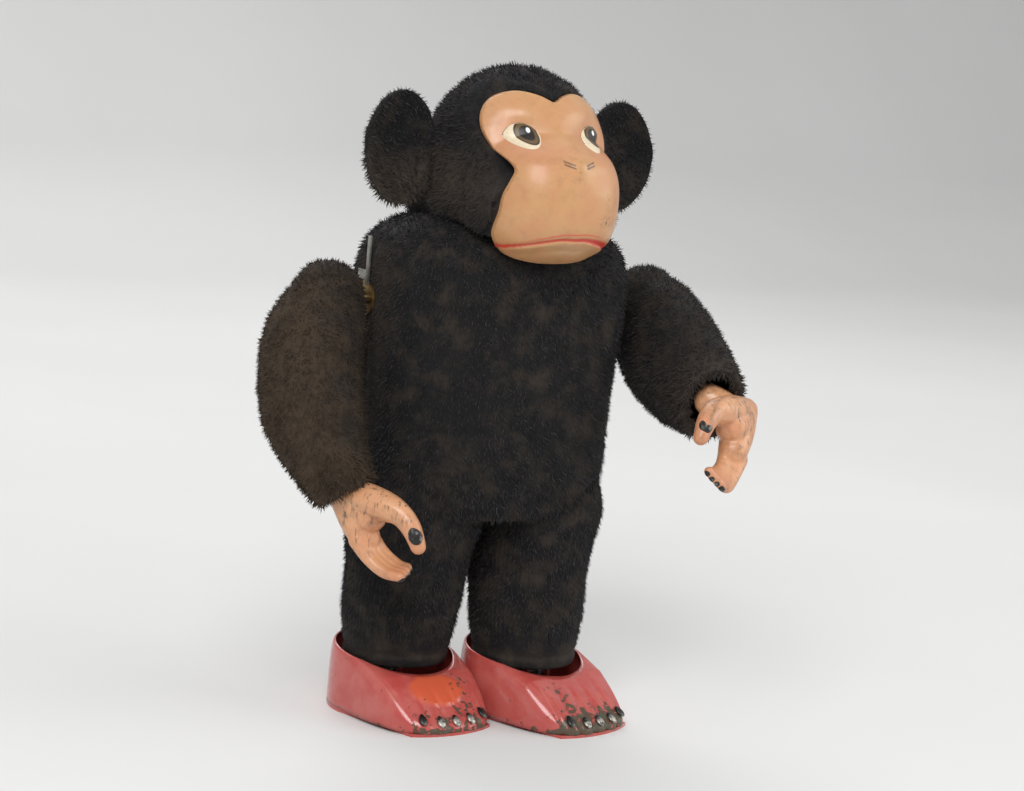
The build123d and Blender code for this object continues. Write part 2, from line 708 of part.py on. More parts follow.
# Centre of the plush sleeve (|X|, Y, Z) with its half width across and half depth along the swing.
SLEEVES = {
    "right": (
        (45.6, 1.0, 120.5, 6.0, 6.0),
        (48.8, -1.0, 112.5, 10.0, 10.8),
        (53.2, -3.5, 101.0, 13.0, 12.5),
        (54.8, -6.5, 89.0, 13.4, 12.5),
        (52.5, -10.5, 76.0, 11.6, 11.0),
        (47.0, -15.5, 64.0, 7.8, 7.4),
    ),
    "left": (
        (46.0, 2.0, 121.0, 6.0, 7.0),
        (48.8, -2.5, 111.5, 10.0, 13.0),
        (49.4, -11.5, 102.5, 10.6, 16.5),
        (49.0, -23.0, 97.0, 10.4, 16.0),
        (47.6, -33.5, 93.8, 9.6, 13.0),
        (45.6, -42.5, 91.2, 8.4, 10.2),
    ),
}
# Wrist, the way the hand points, and the way its upper finger lies from that.
HANDS = {
    "right": ((-45.6, -16.6, 62.2), (0.46, -0.72, -0.52), (0.15, -0.52, 0.84)),
    "left": ((51.6, -46.6, 88.2), (-0.757, -0.588, -0.291), (-0.316, -0.041, 0.919)),
}
HAND_HALF = 4.6
HAND_TIN = 0.7


def hand_outline(upper):
    """A gripping hand from its side, with the finger on the upper side at +1 or -1."""
    with BuildLine() as outline:
        Polyline((-3.0, -4.6 * upper), (4.0, -7.6 * upper), (13.0, -10.2 * upper), (24.0, -7.2 * upper))
        Polyline((24.0, -7.2 * upper), (24.5, -3.6 * upper), (15.0, -5.0 * upper))
        ThreePointArc((15.0, -5.0 * upper), (9.4, 0.4 * upper), (14.0, 5.0 * upper))
        Polyline((14.0, 5.0 * upper), (22.0, 2.6 * upper), (23.0, 5.8 * upper), (13.0, 9.6 * upper))
        Polyline((13.0, 9.6 * upper), (4.0, 7.8 * upper), (-3.0, 4.6 * upper), (-3.0, -4.6 * upper))
    make_face(outline.line)



def sleeve_planes(side, sign):
    """A plane across the sleeve at each of its stations, with the local x along world X."""
    stations = SLEEVES[side]
    spots = [Vector(sign * s[0], s[1], s[2]) for s in stations]
    planes = []
    for k, spot in enumerate(spots):
        along = spots[min(k + 1, len(spots) - 1)] - spots[max(k - 1, 0)]
        level = Vector(1, 0, 0) - along * (along.X / along.length**2)
        planes.append(Plane(origin=spot, x_dir=level, z_dir=along))
    return planes


for side, sign in SIDES:
    stations = SLEEVES[side]
    planes = sleeve_planes(side, sign)
    crank_turn = -sign * ARM_SWING

    with BuildPart() as shoulder_axle:
        rod_x(0, SHOULDER_Z, PIVOT_R, sign * (CRANK_X - 1), sign * AXLE_OUT)
        rod_x(0, SHOULDER_Z, 2.4, sign * (CRANK_X + STRIP / 2), sign * 31.0)
    finish(shoulder_axle, f"shoulder_axle_{side}")

    with BuildPart() as arm_crank:
        with BuildSketch(sideways(sign * CRANK_X - STRIP / 2)):
            with Locations((0, SHOULDER_Z)):
                Circle(4)
            with Locations((0, SHOULDER_Z + 8.0)):
                Rectangle(6.0, 16.0)
            with Locations((0, SHOULDER_Z + 14.6)):
                Rectangle(SLOT_W, 5, mode=Mode.SUBTRACT)
            with Locations((0, SHOULDER_Z)):
                Circle(PIVOT_R, mode=Mode.SUBTRACT)
        extrude(amount=STRIP)
    finish(arm_crank, f"arm_crank_{side}", SHOULDER_AXIS, crank_turn)

    wrist, point_way, thumb_way = HANDS[side]
    with BuildPart() as arm_rod:
        with BuildLine():
            route = [Vector(sign * 45.5, 0, SHOULDER_Z)]
            route += [plane.origin for plane in planes[2:5]]
            route.append(Vector(*wrist))
            FilletPolyline(*route, radius=3.5)
        with BuildSketch(Plane(origin=route[0], z_dir=route[1] - route[0])):
            Circle(1.1)
        sweep()
    finish(arm_rod, f"arm_rod_{side}")

    with BuildPart() as sleeve:
        for plane, station in zip(planes, stations):
            with BuildSketch(plane):
                Ellipse(station[3], station[4])
        loft(ruled=True)
    finish(sleeve, f"sleeve_{side}")

    grip_normal = Vector(*point_way).cross(Vector(*thumb_way))
    for half, way in (("outer", sign), ("inner", -sign)):
        facing = grip_normal * (way if grip_normal.X > 0 else -way)
        hand_plane = Plane(origin=wrist, x_dir=point_way, z_dir=facing)
        upper = 1 if hand_plane.y_dir.dot(Vector(*thumb_way)) > 0 else -1
        with BuildPart() as hand:
            with BuildSketch(hand_plane):
                hand_outline(upper)
            extrude(amount=HAND_HALF)
            with BuildSketch(hand_plane) as hollow:
                hand_outline(upper)
                offset(amount=-HAND_TIN)
            extrude(hollow.sketch, amount=HAND_HALF - HAND_TIN, mode=Mode.SUBTRACT)
        finish(hand, f"hand_{half}_{side}")
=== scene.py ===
"""Wind-up walking chimpanzee: plush body, painted tin face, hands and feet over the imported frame."""

import json
import logging
import math
from abc import ABC, abstractmethod
from dataclasses import dataclass
from enum import Enum
from typing import Callable

import bmesh
import bpy
from mathutils import Matrix, Vector, noise


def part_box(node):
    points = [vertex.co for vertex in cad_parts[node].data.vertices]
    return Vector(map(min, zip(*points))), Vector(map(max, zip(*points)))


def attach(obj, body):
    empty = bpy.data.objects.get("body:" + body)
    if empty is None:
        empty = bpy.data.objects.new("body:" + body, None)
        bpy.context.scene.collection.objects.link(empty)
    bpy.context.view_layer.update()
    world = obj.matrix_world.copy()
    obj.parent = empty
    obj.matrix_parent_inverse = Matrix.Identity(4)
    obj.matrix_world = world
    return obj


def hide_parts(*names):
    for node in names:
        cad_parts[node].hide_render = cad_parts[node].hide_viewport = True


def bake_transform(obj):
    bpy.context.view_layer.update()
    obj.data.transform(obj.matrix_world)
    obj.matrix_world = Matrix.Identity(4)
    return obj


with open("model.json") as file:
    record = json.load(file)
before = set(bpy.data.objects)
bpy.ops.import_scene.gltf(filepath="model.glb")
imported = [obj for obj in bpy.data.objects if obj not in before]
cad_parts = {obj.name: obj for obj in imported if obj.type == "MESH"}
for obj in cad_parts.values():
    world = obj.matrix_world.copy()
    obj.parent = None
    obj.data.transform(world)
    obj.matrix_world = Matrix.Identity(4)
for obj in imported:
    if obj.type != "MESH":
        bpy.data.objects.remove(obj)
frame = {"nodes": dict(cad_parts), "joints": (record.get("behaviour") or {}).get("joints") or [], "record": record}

MM = 0.001
Spot = tuple[float, float, float]
Colour = tuple[float, float, float, float]
Place = Callable[[float, float], Spot]
Measure = Callable[[Vector], float]
LOG = logging.getLogger("tin_toy")


class Side(Enum):
    """The figure's own sides, with the sign of their X."""

    RIGHT = -1
    LEFT = 1

    @property
    def word(self) -> str:
        """The side's name as the frame's nodes and bodies spell it."""
        return self.name.lower()


# ---------------------------------------------------------------- measuring and shaping


def pigment(red: int, green: int, blue: int) -> Colour:
    """Turn a paint colour given as screen levels into linear light.

    Args:
        red: Level from 0 to 255.
        green: Level from 0 to 255.
        blue: Level from 0 to 255.

    Returns:
        The linear colour with full alpha.
    """
    levels = [level / 255 for level in (red, green, blue)]
    linear = [level / 12.92 if level <= 0.04045 else ((level + 0.055) / 1.055) ** 2.4 for level in levels]
    return (linear[0], linear[1], linear[2], 1.0)


def ease(value: float, low: float, high: float) -> float:
    """Rise smoothly from 0 at low to 1 at high, or fall if low is above high."""
    share = min(max((value - low) / (high - low), 0.0), 1.0)
    return share * share * (3 - 2 * share)


def hump(value: float, middle: float, width: float) -> float:
    """A smooth bump of height 1 about a middle, fading over a width."""
    return math.exp(-(((value - middle) / width) ** 2))


def soft_max(first: float, second: float, blur: float) -> float:
    """The larger of two values, rounded where they are nearly equal.

    Args:
        first: One value.
        second: The other value.
        blur: How far apart they are where the rounding starts.

    Returns:
        The rounded larger value.
    """
    gap = max(blur - abs(first - second), 0.0) / blur
    return max(first, second) + gap * gap * blur / 4


def follow(stations: list[Spot], share: float) -> list[float]:
    """Read a smooth run through stations of any width.

    Args:
        stations: Rows of numbers, in order along the run.
        share: How far along the run, from 0 to 1.

    Returns:
        The row there, by Catmull-Rom interpolation.
    """
    last = len(stations) - 1
    reach = min(max(share, 0.0), 1.0) * last
    at = min(int(reach), last - 1)
    t = reach - at
    rows = [stations[min(max(at + k, 0), last)] for k in (-1, 0, 1, 2)]
    return [
        0.5 * (2 * b + (c - a) * t + (2 * a - 5 * b + 4 * c - d) * t * t + (3 * b - a - 3 * c + d) * t**3)
        for a, b, c, d in zip(*rows)
    ]


def corners(node: str) -> tuple[Vector, Vector]:
    """A frame node's lowest and highest corners in millimetres."""
    low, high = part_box(node)
    return Vector(low) / MM, Vector(high) / MM


def pivot(joint: str) -> Vector:
    """A frame joint's place in millimetres."""
    found = next(entry for entry in frame["joints"] if entry["name"] == joint)
    return Vector(found["pos_m"]) / MM


def show(name: str, shape: bmesh.types.BMesh, smooth: bool = True) -> bpy.types.Object:
    """Turn a finished bmesh into an object in the scene.

    Args:
        name: The piece's name.
        shape: The bmesh, which is freed.
        smooth: Whether its faces are shaded smooth.

    Returns:
        The new object, at the origin.
    """
    for face in shape.faces:
        face.smooth = smooth
    mesh = bpy.data.meshes.new(name)
    shape.to_mesh(mesh)
    shape.free()
    piece = bpy.data.objects.new(name, mesh)
    bpy.context.scene.collection.objects.link(piece)
    return piece


def face_outwards(shape: bmesh.types.BMesh) -> None:
    """Make the normals agree, and point them away from the middle of the shape.

    Args:
        shape: The shape, which is changed.
    """
    bmesh.ops.recalc_face_normals(shape, faces=shape.faces)
    middle = sum((vert.co for vert in shape.verts), Vector()) / len(shape.verts)
    outward = 0.0
    for face in shape.faces:
        outward += face.normal.dot(face.calc_center_median() - middle) * face.calc_area()
    if outward < 0:
        bmesh.ops.reverse_faces(shape, faces=shape.faces)


def skin(name: str, place: Place, columns: int, rows: int, wall: float = 0.0) -> bpy.types.Object:
    """Lay a fine grid over a form and close its seam and poles.

    Args:
        name: The piece's name.
        place: Where the grid's shares, each from 0 to 1, lie on the form, in millimetres.
        columns: Faces along the first share.
        rows: Faces along the second share.
        wall: Thickness added inwards, in millimetres.

    Returns:
        The new object.
    """
    shape = bmesh.new()
    bmesh.ops.create_grid(shape, x_segments=columns, y_segments=rows, size=0.5)
    for vert in shape.verts:
        vert.co = Vector(place(vert.co.x + 0.5, vert.co.y + 0.5)) * MM
    bmesh.ops.remove_doubles(shape, verts=shape.verts, dist=1e-6)
    bmesh.ops.dissolve_degenerate(shape, edges=shape.edges, dist=1e-7)
    face_outwards(shape)
    if wall:
        bmesh.ops.solidify(shape, geom=shape.faces, thickness=wall * MM)
        bmesh.ops.recalc_face_normals(shape, faces=shape.faces)
    return show(name, shape)


def brush(piece: bpy.types.Object, name: str, measure: Measure) -> None:
    """Write a value at every point of a piece.

    Args:
        piece: The piece that is marked.
        name: The mark's name.
        measure: The value at a place in millimetres.
    """
    layer = piece.data.attributes.new(name, "FLOAT", "POINT")
    layer.data.foreach_set("value", [measure(vert.co / MM) for vert in piece.data.vertices])


def grain(spot: Vector, size: float, seed: float = 0.0) -> float:
    """Smooth noise from -1 to 1 whose lumps are about this many millimetres across."""
    return noise.noise(spot / size + Vector((seed, seed, seed)))


# ---------------------------------------------------------------- finishes


class Recipe:
    """A material while it is mixed: its node tree, its shader and the place it reads."""

    def __init__(self, name: str) -> None:
        """Start an empty material with its shader.

        Args:
            name: The material's name.
        """
        self.material = bpy.data.materials.new(name)
        self.material.use_nodes = True
        self.tree = self.material.node_tree
        self.shader = self.tree.nodes["Principled BSDF"]
        self.place = self.tree.nodes.new("ShaderNodeTexCoord").outputs["Object"]

    def join(self, value: object, socket: bpy.types.NodeSocket) -> None:
        """Link an output to a socket, or set the socket to a plain value."""
        if isinstance(value, bpy.types.NodeSocket):
            self.tree.links.new(value, socket)
        else:
            socket.default_value = value

    def speckle(
        self, size: float, detail: float = 3.0, rough: float = 0.55, stretch: Spot = (1, 1, 1)
    ) -> bpy.types.NodeSocket:
        """Cloudy noise over the piece.

        Args:
            size: Width of a lump in millimetres.
            detail: Number of finer layers.
            rough: Strength of the finer layers.
            stretch: How much longer the lumps are along each axis.

        Returns:
            The noise, from 0 to 1.
        """
        mapping = self.tree.nodes.new("ShaderNodeMapping")
        mapping.inputs["Scale"].default_value = [1 / (size * MM * long) for long in stretch]
        self.tree.links.new(self.place, mapping.inputs["Vector"])
        cloud = self.tree.nodes.new("ShaderNodeTexNoise")
        cloud.inputs["Scale"].default_value = 1.0
        cloud.inputs["Detail"].default_value = detail
        cloud.inputs["Roughness"].default_value = rough
        self.tree.links.new(mapping.outputs["Vector"], cloud.inputs["Vector"])
        return cloud.outputs["Fac"]

    def mark(self, name: str) -> bpy.types.NodeSocket:
        """A value brushed on the piece."""
        reader = self.tree.nodes.new("ShaderNodeAttribute")
        reader.attribute_name = name
        return reader.outputs["Fac"]

    def sum(self, operation: str, first: object, second: object) -> bpy.types.NodeSocket:
        """One step of arithmetic, held between 0 and 1.

        Args:
            operation: The step's name.
            first: A socket or a plain value.
            second: A socket or a plain value.

        Returns:
            The step's result.
        """
        step = self.tree.nodes.new("ShaderNodeMath")
        step.operation = operation
        step.use_clamp = True
        self.join(first, step.inputs[0])
        self.join(second, step.inputs[1])
        return step.outputs[0]

    def rise(
        self, value: bpy.types.NodeSocket, low: float, high: float, start: float = 0.0, end: float = 1.0
    ) -> bpy.types.NodeSocket:
        """A smooth step of a value.

        Args:
            value: What is read.
            low: The value where the step starts.
            high: The value where the step ends.
            start: The result at the low value.
            end: The result at the high value.

        Returns:
            The stepped result.
        """
        step = self.tree.nodes.new("ShaderNodeMapRange")
        step.interpolation_type = "SMOOTHSTEP"
        for number, socket in ((value, 0), (low, 1), (high, 2), (start, 3), (end, 4)):
            self.join(number, step.inputs[socket])
        return step.outputs[0]

    def over(self, share: object, under: object, top: object) -> bpy.types.NodeSocket:
        """Lay one colour over another.

        Args:
            share: How much of the top colour shows.
            under: The lower colour.
            top: The upper colour.

        Returns:
            The mixed colour.
        """
        blend = self.tree.nodes.new("ShaderNodeMix")
        blend.data_type = "RGBA"
        self.join(share, blend.inputs[0])
        self.join(under, blend.inputs[6])
        self.join(top, blend.inputs[7])
        return blend.outputs[2]

    def relief(self, height: bpy.types.NodeSocket, depth: float, strength: float = 0.6) -> None:
        """Dent the surface.

        Args:
            height: Where it stands high or low, from 0 to 1.
            depth: The deepest dent in millimetres.
            strength: How strongly it shows.
        """
        bump = self.tree.nodes.new("ShaderNodeBump")
        bump.inputs["Strength"].default_value = strength
        bump.inputs["Distance"].default_value = depth * MM
        self.tree.links.new(height, bump.inputs["Height"])
        self.tree.links.new(bump.outputs["Normal"], self.shader.inputs["Normal"])

    def set(self, **values: object) -> None:
        """Set or link the shader's sockets, with spaces written as underscores."""
        for name, value in values.items():
            self.join(value, self.shader.inputs[name.replace("_", " ")])


@dataclass(frozen=True)
class Finish(ABC):
    """A finish with the name of its material."""

    name: str

    @abstractmethod
    def mix(self, recipe: Recipe) -> None:
        """Set up the shader."""

    def material(self) -> bpy.types.Material:
        """The finish's material, mixed on first use."""
        ready = bpy.data.materials.get(self.name)
        if ready:
            return ready
        recipe = Recipe(self.name)
        self.mix(recipe)
        return recipe.material

    def apply(self, piece: bpy.types.Object) -> None:
        """Give a piece this finish alone."""
        piece.data.materials.clear()
        piece.data.materials.append(self.material())


@dataclass(frozen=True)
class PlushFinish(Finish):
    """Cut pile whose colour shifts between its depths, its tips and its worn patches; the lighter tips are partly
    a painted highlight.
    """

    deep: Colour
    # lighter fibre colour: partly the plush's own random tone, partly a painted highlight
    tip: Colour
    worn: Colour
    worn_share: float

    def mix(self, recipe: Recipe) -> None:
        """Mottle the pile, and brown it where the wear mark says."""
        cloud = recipe.speckle(6.5, 4.0, 0.65)
        # painted highlight: a random share of the fibres takes the lighter tip colour
        fleck = recipe.rise(recipe.mark("tuft"), 0.0, 1.0, 0.0, 0.9)
        base = recipe.over(fleck, self.deep, self.tip)
        patch = recipe.rise(cloud, 0.42, 0.72, 0.0, self.worn_share)
        base = recipe.over(patch, base, self.worn)
        patchy = recipe.rise(recipe.speckle(2.4), 0.25, 0.6, 0.45, 1.0)
        worn = recipe.sum("MULTIPLY", recipe.mark("wear"), patchy)
        recipe.set(Base_Color=recipe.over(worn, base, self.worn))
        recipe.set(Roughness=recipe.rise(cloud, 0.2, 0.8, 0.72, 0.95))
        recipe.set(Specular_IOR_Level=0.3, Sheen_Weight=0.5, Sheen_Roughness=0.4)
        recipe.shader.inputs["Sheen Tint"].default_value = self.tip
        recipe.relief(recipe.speckle(0.5, 2.0), 0.25)


@dataclass(frozen=True)
class FleshPaint(Finish):
    """Semi-gloss skin paint with lip, blush, shade and grime marks over it."""

    skin: Colour
    blush: Colour
    lip: Colour
    grime: Colour
    streak: Spot
    dirt: float

    def mix(self, recipe: Recipe) -> None:
        """Lay blush, lips, shade and grime over the skin."""
        cloud = recipe.speckle(6.0, 4.0)
        base = recipe.over(recipe.rise(cloud, 0.35, 0.7, 0.0, 0.45), self.skin, self.blush)
        base = recipe.over(recipe.mark("blush"), base, self.blush)
        smear = recipe.rise(recipe.speckle(1.3, 5.0, 0.7, self.streak), 0.52, 0.68)
        base = recipe.over(recipe.sum("MULTIPLY", smear, recipe.mark("grime")), base, self.grime)
        film = recipe.rise(recipe.speckle(3.5, 5.0, 0.65), 0.45, 0.8, 0.0, self.dirt)
        base = recipe.over(film, base, self.grime)
        base = recipe.over(recipe.mark("shade"), base, self.grime)
        base = recipe.over(recipe.mark("lip"), base, self.lip)
        recipe.set(Base_Color=base, Roughness=recipe.rise(cloud, 0.3, 0.7, 0.3, 0.48))
        recipe.set(Specular_IOR_Level=0.5, Coat_Weight=0.25, Coat_Roughness=0.22)
        recipe.relief(recipe.speckle(1.8, 5.0, 0.65), 0.12)


@dataclass(frozen=True)
class ChippedPaint(Finish):
    """Gloss enamel that has chipped to dull metal, mostly where the edge mark is, with a painted highlight on the
    raised instep oval.
    """

    paint: Colour
    faded: Colour
    metal: Colour
    rust: Colour
    # lighter colour painted as the highlight of the raised instep oval
    accent: Colour

    def mix(self, recipe: Recipe) -> None:
        """Chip the enamel down to the metal, and paint a highlight on the instep oval."""
        cloud = recipe.speckle(7.0, 3.0)
        coat = recipe.over(recipe.rise(cloud, 0.35, 0.68), self.paint, self.faded)
        # painted highlight: the lighter colour laid over the raised instep oval
        coat = recipe.over(recipe.mark("accent"), coat, self.accent)
        metal = recipe.over(recipe.rise(recipe.speckle(1.2, 4.0), 0.4, 0.62), self.metal, self.rust)
        worn_edge = recipe.sum("MULTIPLY", recipe.mark("edge"), 0.3)
        flake = recipe.sum("ADD", recipe.speckle(2.2, 6.0, 0.68), worn_edge)
        chip = recipe.rise(flake, 0.665, 0.69)
        bare = recipe.over(chip, coat, metal)
        recipe.set(Base_Color=bare, Roughness=recipe.rise(chip, 0.0, 1.0, 0.2, 0.62))
        recipe.set(Metallic=recipe.rise(chip, 0.0, 1.0, 0.0, 0.35), Coat_Weight=0.35, Coat_Roughness=0.12)
        recipe.relief(recipe.rise(flake, 0.655, 0.7, 1.0, 0.0), 0.12, 0.8)


@dataclass(frozen=True)
class Metal(Finish):
    """Drawn or pressed metal with fine scratches and a dull film."""

    bright: Colour
    dull: Colour
    scratch: Spot
    gloss: float

    def mix(self, recipe: Recipe) -> None:
        """Streak the metal and dull it in clouds."""
        line = recipe.speckle(0.35, 2.0, 0.6, self.scratch)
        film = recipe.rise(recipe.speckle(4.0, 4.0), 0.35, 0.7)
        recipe.set(Base_Color=recipe.over(film, self.bright, self.dull), Metallic=1.0)
        recipe.set(Roughness=recipe.rise(line, 0.2, 0.8, self.gloss, self.gloss + 0.25))
        recipe.relief(line, 0.02, 0.3)


@dataclass(frozen=True)
class NailPaint(Finish):
    """Black nail paint worn to silver where the tip mark is."""

    dark: Colour
    silver: Colour

    def mix(self, recipe: Recipe) -> None:
        """Wear the tips bright."""
        cloud = recipe.speckle(0.9, 3.0)
        worn = recipe.sum("MULTIPLY", recipe.mark("tip"), recipe.rise(cloud, 0.35, 0.55))
        recipe.set(Base_Color=recipe.over(worn, self.dark, self.silver))
        recipe.set(Roughness=recipe.rise(cloud, 0.3, 0.7, 0.25, 0.5))
        recipe.set(Metallic=recipe.rise(worn, 0.0, 1.0, 0.0, 0.8))
        recipe.relief(cloud, 0.05)


@dataclass(frozen=True)
class EyePaint(Finish):
    """A painted eye whose rings follow the ring mark, with a white glint."""

    rings: tuple[tuple[float, Colour], ...]
    glint: Colour

    def mix(self, recipe: Recipe) -> None:
        """Paint the rings outwards from the pupil."""
        ring = recipe.mark("ring")
        base: object = self.rings[0][1]
        for edge, colour in self.rings[1:]:
            base = recipe.over(recipe.rise(ring, edge - 0.025, edge + 0.025), base, colour)
        base = recipe.over(recipe.rise(recipe.speckle(0.8), 0.5, 0.8, 0.0, 0.2), base, self.rings[2][1])
        recipe.set(Base_Color=recipe.over(recipe.mark("glint"), base, self.glint), Roughness=0.4)
        recipe.set(Coat_Weight=0.2, Coat_Roughness=0.25)


# each plush's second colour is its lighter tip colour, partly a painted highlight
BLACK_PLUSH = PlushFinish("black_plush", pigment(10, 10, 12), pigment(60, 58, 62), pigment(62, 54, 46), 0.55)
FADED_PLUSH = PlushFinish("faded_plush", pigment(16, 13, 11), pigment(50, 42, 35), pigment(70, 57, 44), 0.6)
FACE_PAINT = FleshPaint(
    "face_paint",
    skin=pigment(197, 149, 101),
    blush=pigment(194, 130, 92),
    lip=pigment(204, 72, 56),
    grime=pigment(90, 70, 52),
    streak=(1, 1, 1),
    dirt=0.18,
)
HAND_PAINT = FleshPaint(
    "hand_paint",
    skin=pigment(213, 158, 116),
    # also the painted shade in the crook of the hand
    blush=pigment(200, 134, 96),
    lip=pigment(190, 100, 76),
    grime=pigment(82, 68, 56),
    streak=(1, 1, 4),
    dirt=0.5,
)
FOOT_PAINT = ChippedPaint(
    "foot_paint",
    paint=pigment(180, 74, 68),
    faded=pigment(188, 94, 86),
    metal=pigment(84, 82, 66),
    rust=pigment(96, 66, 48),
    # painted highlight colour of the raised instep oval
    accent=pigment(206, 92, 62),
)
NAILS = NailPaint("nail_paint", pigment(22, 21, 20), pigment(190, 186, 176))
EYES = EyePaint(
    "eye_paint",
    (
        (0.0, pigment(16, 12, 10)),
        (0.44, pigment(98, 76, 40)),
        (0.62, pigment(40, 28, 20)),
        (0.7, pigment(226, 210, 180)),
        (0.95, pigment(52, 32, 24)),
    ),
    pigment(250, 250, 246),
)
BARE_TIN = Metal("pressed_tin", pigment(176, 176, 170), pigment(120, 116, 104), (1, 1, 6), 0.32)
STEEL = Metal("drawn_steel", pigment(186, 187, 190), pigment(128, 124, 118), (1, 8, 1), 0.25)
BRASS = Metal("turned_brass", pigment(206, 170, 98), pigment(146, 112, 62), (6, 1, 6), 0.26)
FRAME_FINISH: dict[str, Finish] = {
    "bare_tin": BARE_TIN,
    "steel": STEEL,
    "brass": BRASS,
    "foot_tin": FOOT_PAINT,
}


# ---------------------------------------------------------------- plush


@dataclass(frozen=True)
class Pile:
    """Cut pile standing on a backing, thinned by its cover mark and shortened by its reach mark."""

    finish: Finish
    density: float
    length: float
    width: float
    lean: Spot
    spread: float
    seed: int

    def grow(self, backing: bpy.types.Object) -> None:
        """Plant the fibres and keep them as mesh.

        Args:
            backing: The cloth, already marked with cover, reach and wear.
        """
        self.finish.apply(backing)
        tree = bpy.data.node_groups.new(f"{backing.name}_pile", "GeometryNodeTree")
        for way in ("INPUT", "OUTPUT"):
            tree.interface.new_socket("Geometry", in_out=way, socket_type="NodeSocketGeometry")
        cloth = tree.nodes.new("NodeGroupInput").outputs[0]
        scatter = tree.nodes.new("GeometryNodeDistributePointsOnFaces")
        scatter.inputs["Seed"].default_value = self.seed
        tree.links.new(cloth, scatter.inputs["Mesh"])
        tree.links.new(self._scaled(tree, "cover", self.density / MM**2), scatter.inputs["Density"])
        fibre = tree.nodes.new("GeometryNodeMeshCone")
        fibre.fill_type = "NONE"
        thick, long = self.width / 2 * MM, self.length * MM
        sizes = {"Vertices": 3, "Radius Top": 0.0, "Radius Bottom": thick, "Depth": long}
        for socket, value in sizes.items():
            fibre.inputs[socket].default_value = value
        dyed = tree.nodes.new("GeometryNodeSetMaterial")
        dyed.inputs["Material"].default_value = self.finish.material()
        tree.links.new(fibre.outputs["Mesh"], dyed.inputs["Geometry"])
        turn = tree.nodes.new("FunctionNodeAlignRotationToVector")
        turn.axis = "Z"
        tree.links.new(self._way(tree, scatter.outputs["Normal"]), turn.inputs["Vector"])
        plant = tree.nodes.new("GeometryNodeInstanceOnPoints")
        tree.links.new(scatter.outputs["Points"], plant.inputs["Points"])
        tree.links.new(dyed.outputs["Geometry"], plant.inputs["Instance"])
        tree.links.new(turn.outputs["Rotation"], plant.inputs["Rotation"])
        size = tree.nodes.new("ShaderNodeMath")
        size.operation = "MULTIPLY"
        tree.links.new(self._scaled(tree, "reach", 1.0), size.inputs[0])
        tree.links.new(self._chance(tree, 0.55, 1.15, 3), size.inputs[1])
        tree.links.new(size.outputs[0], plant.inputs["Scale"])
        # each fibre's random share of the lighter tip colour, partly a painted highlight
        tuft = tree.nodes.new("GeometryNodeStoreNamedAttribute")
        tuft.domain = "INSTANCE"
        tuft.inputs["Name"].default_value = "tuft"
        tree.links.new(plant.outputs["Instances"], tuft.inputs["Geometry"])
        tree.links.new(self._chance(tree, 0.0, 1.0, 5), tuft.inputs["Value"])
        solid = tree.nodes.new("GeometryNodeRealizeInstances")
        tree.links.new(tuft.outputs["Geometry"], solid.inputs["Geometry"])
        both = tree.nodes.new("GeometryNodeJoinGeometry")
        tree.links.new(solid.outputs["Geometry"], both.inputs[0])
        tree.links.new(cloth, both.inputs[0])
        tree.links.new(both.outputs[0], tree.nodes.new("NodeGroupOutput").inputs[0])
        backing.modifiers.new("pile", "NODES").node_group = tree
        graph = bpy.context.evaluated_depsgraph_get()
        ready = backing.evaluated_get(graph)
        grown = bpy.data.meshes.new_from_object(ready, preserve_all_data_layers=True, depsgraph=graph)
        backing.modifiers.clear()
        backing.data = grown
        bpy.data.node_groups.remove(tree)

    def _scaled(self, tree: bpy.types.NodeTree, mark: str, factor: float) -> bpy.types.NodeSocket:
        """A mark on the cloth, times a factor."""
        reader = tree.nodes.new("GeometryNodeInputNamedAttribute")
        reader.inputs["Name"].default_value = mark
        times = tree.nodes.new("ShaderNodeMath")
        times.operation = "MULTIPLY"
        times.inputs[1].default_value = factor
        tree.links.new(reader.outputs["Attribute"], times.inputs[0])
        return times.outputs[0]

    def _chance(self, tree: bpy.types.NodeTree, low: float, high: float, extra: int) -> bpy.types.NodeSocket:
        """A seeded random number for each fibre."""
        die = tree.nodes.new("FunctionNodeRandomValue")
        for socket, value in ((2, low), (3, high), (8, self.seed + extra)):
            die.inputs[socket].default_value = value
        return die.outputs[1]

    def _way(self, tree: bpy.types.NodeTree, normal: bpy.types.NodeSocket) -> bpy.types.NodeSocket:
        """The way each fibre points: off the cloth, along the nap, and a little astray."""
        die = tree.nodes.new("FunctionNodeRandomValue")
        die.data_type = "FLOAT_VECTOR"
        die.inputs[0].default_value = [nap - self.spread for nap in self.lean]
        die.inputs[1].default_value = [nap + self.spread for nap in self.lean]
        die.inputs[8].default_value = self.seed
        total = tree.nodes.new("ShaderNodeVectorMath")
        total.operation = "ADD"
        tree.links.new(normal, total.inputs[0])
        tree.links.new(die.outputs[0], total.inputs[1])
        return total.outputs[0]


def mark_plush(piece: bpy.types.Object, cover: Measure, reach: Measure, wear: Measure) -> None:
    """Brush the three marks that a pile and its finish read.

    Args:
        piece: The bare cloth.
        cover: How thickly the pile grows.
        reach: How long it stands.
        wear: How brown it has gone.
    """
    for name, measure in (("cover", cover), ("reach", reach), ("wear", wear)):
        brush(piece, name, measure)


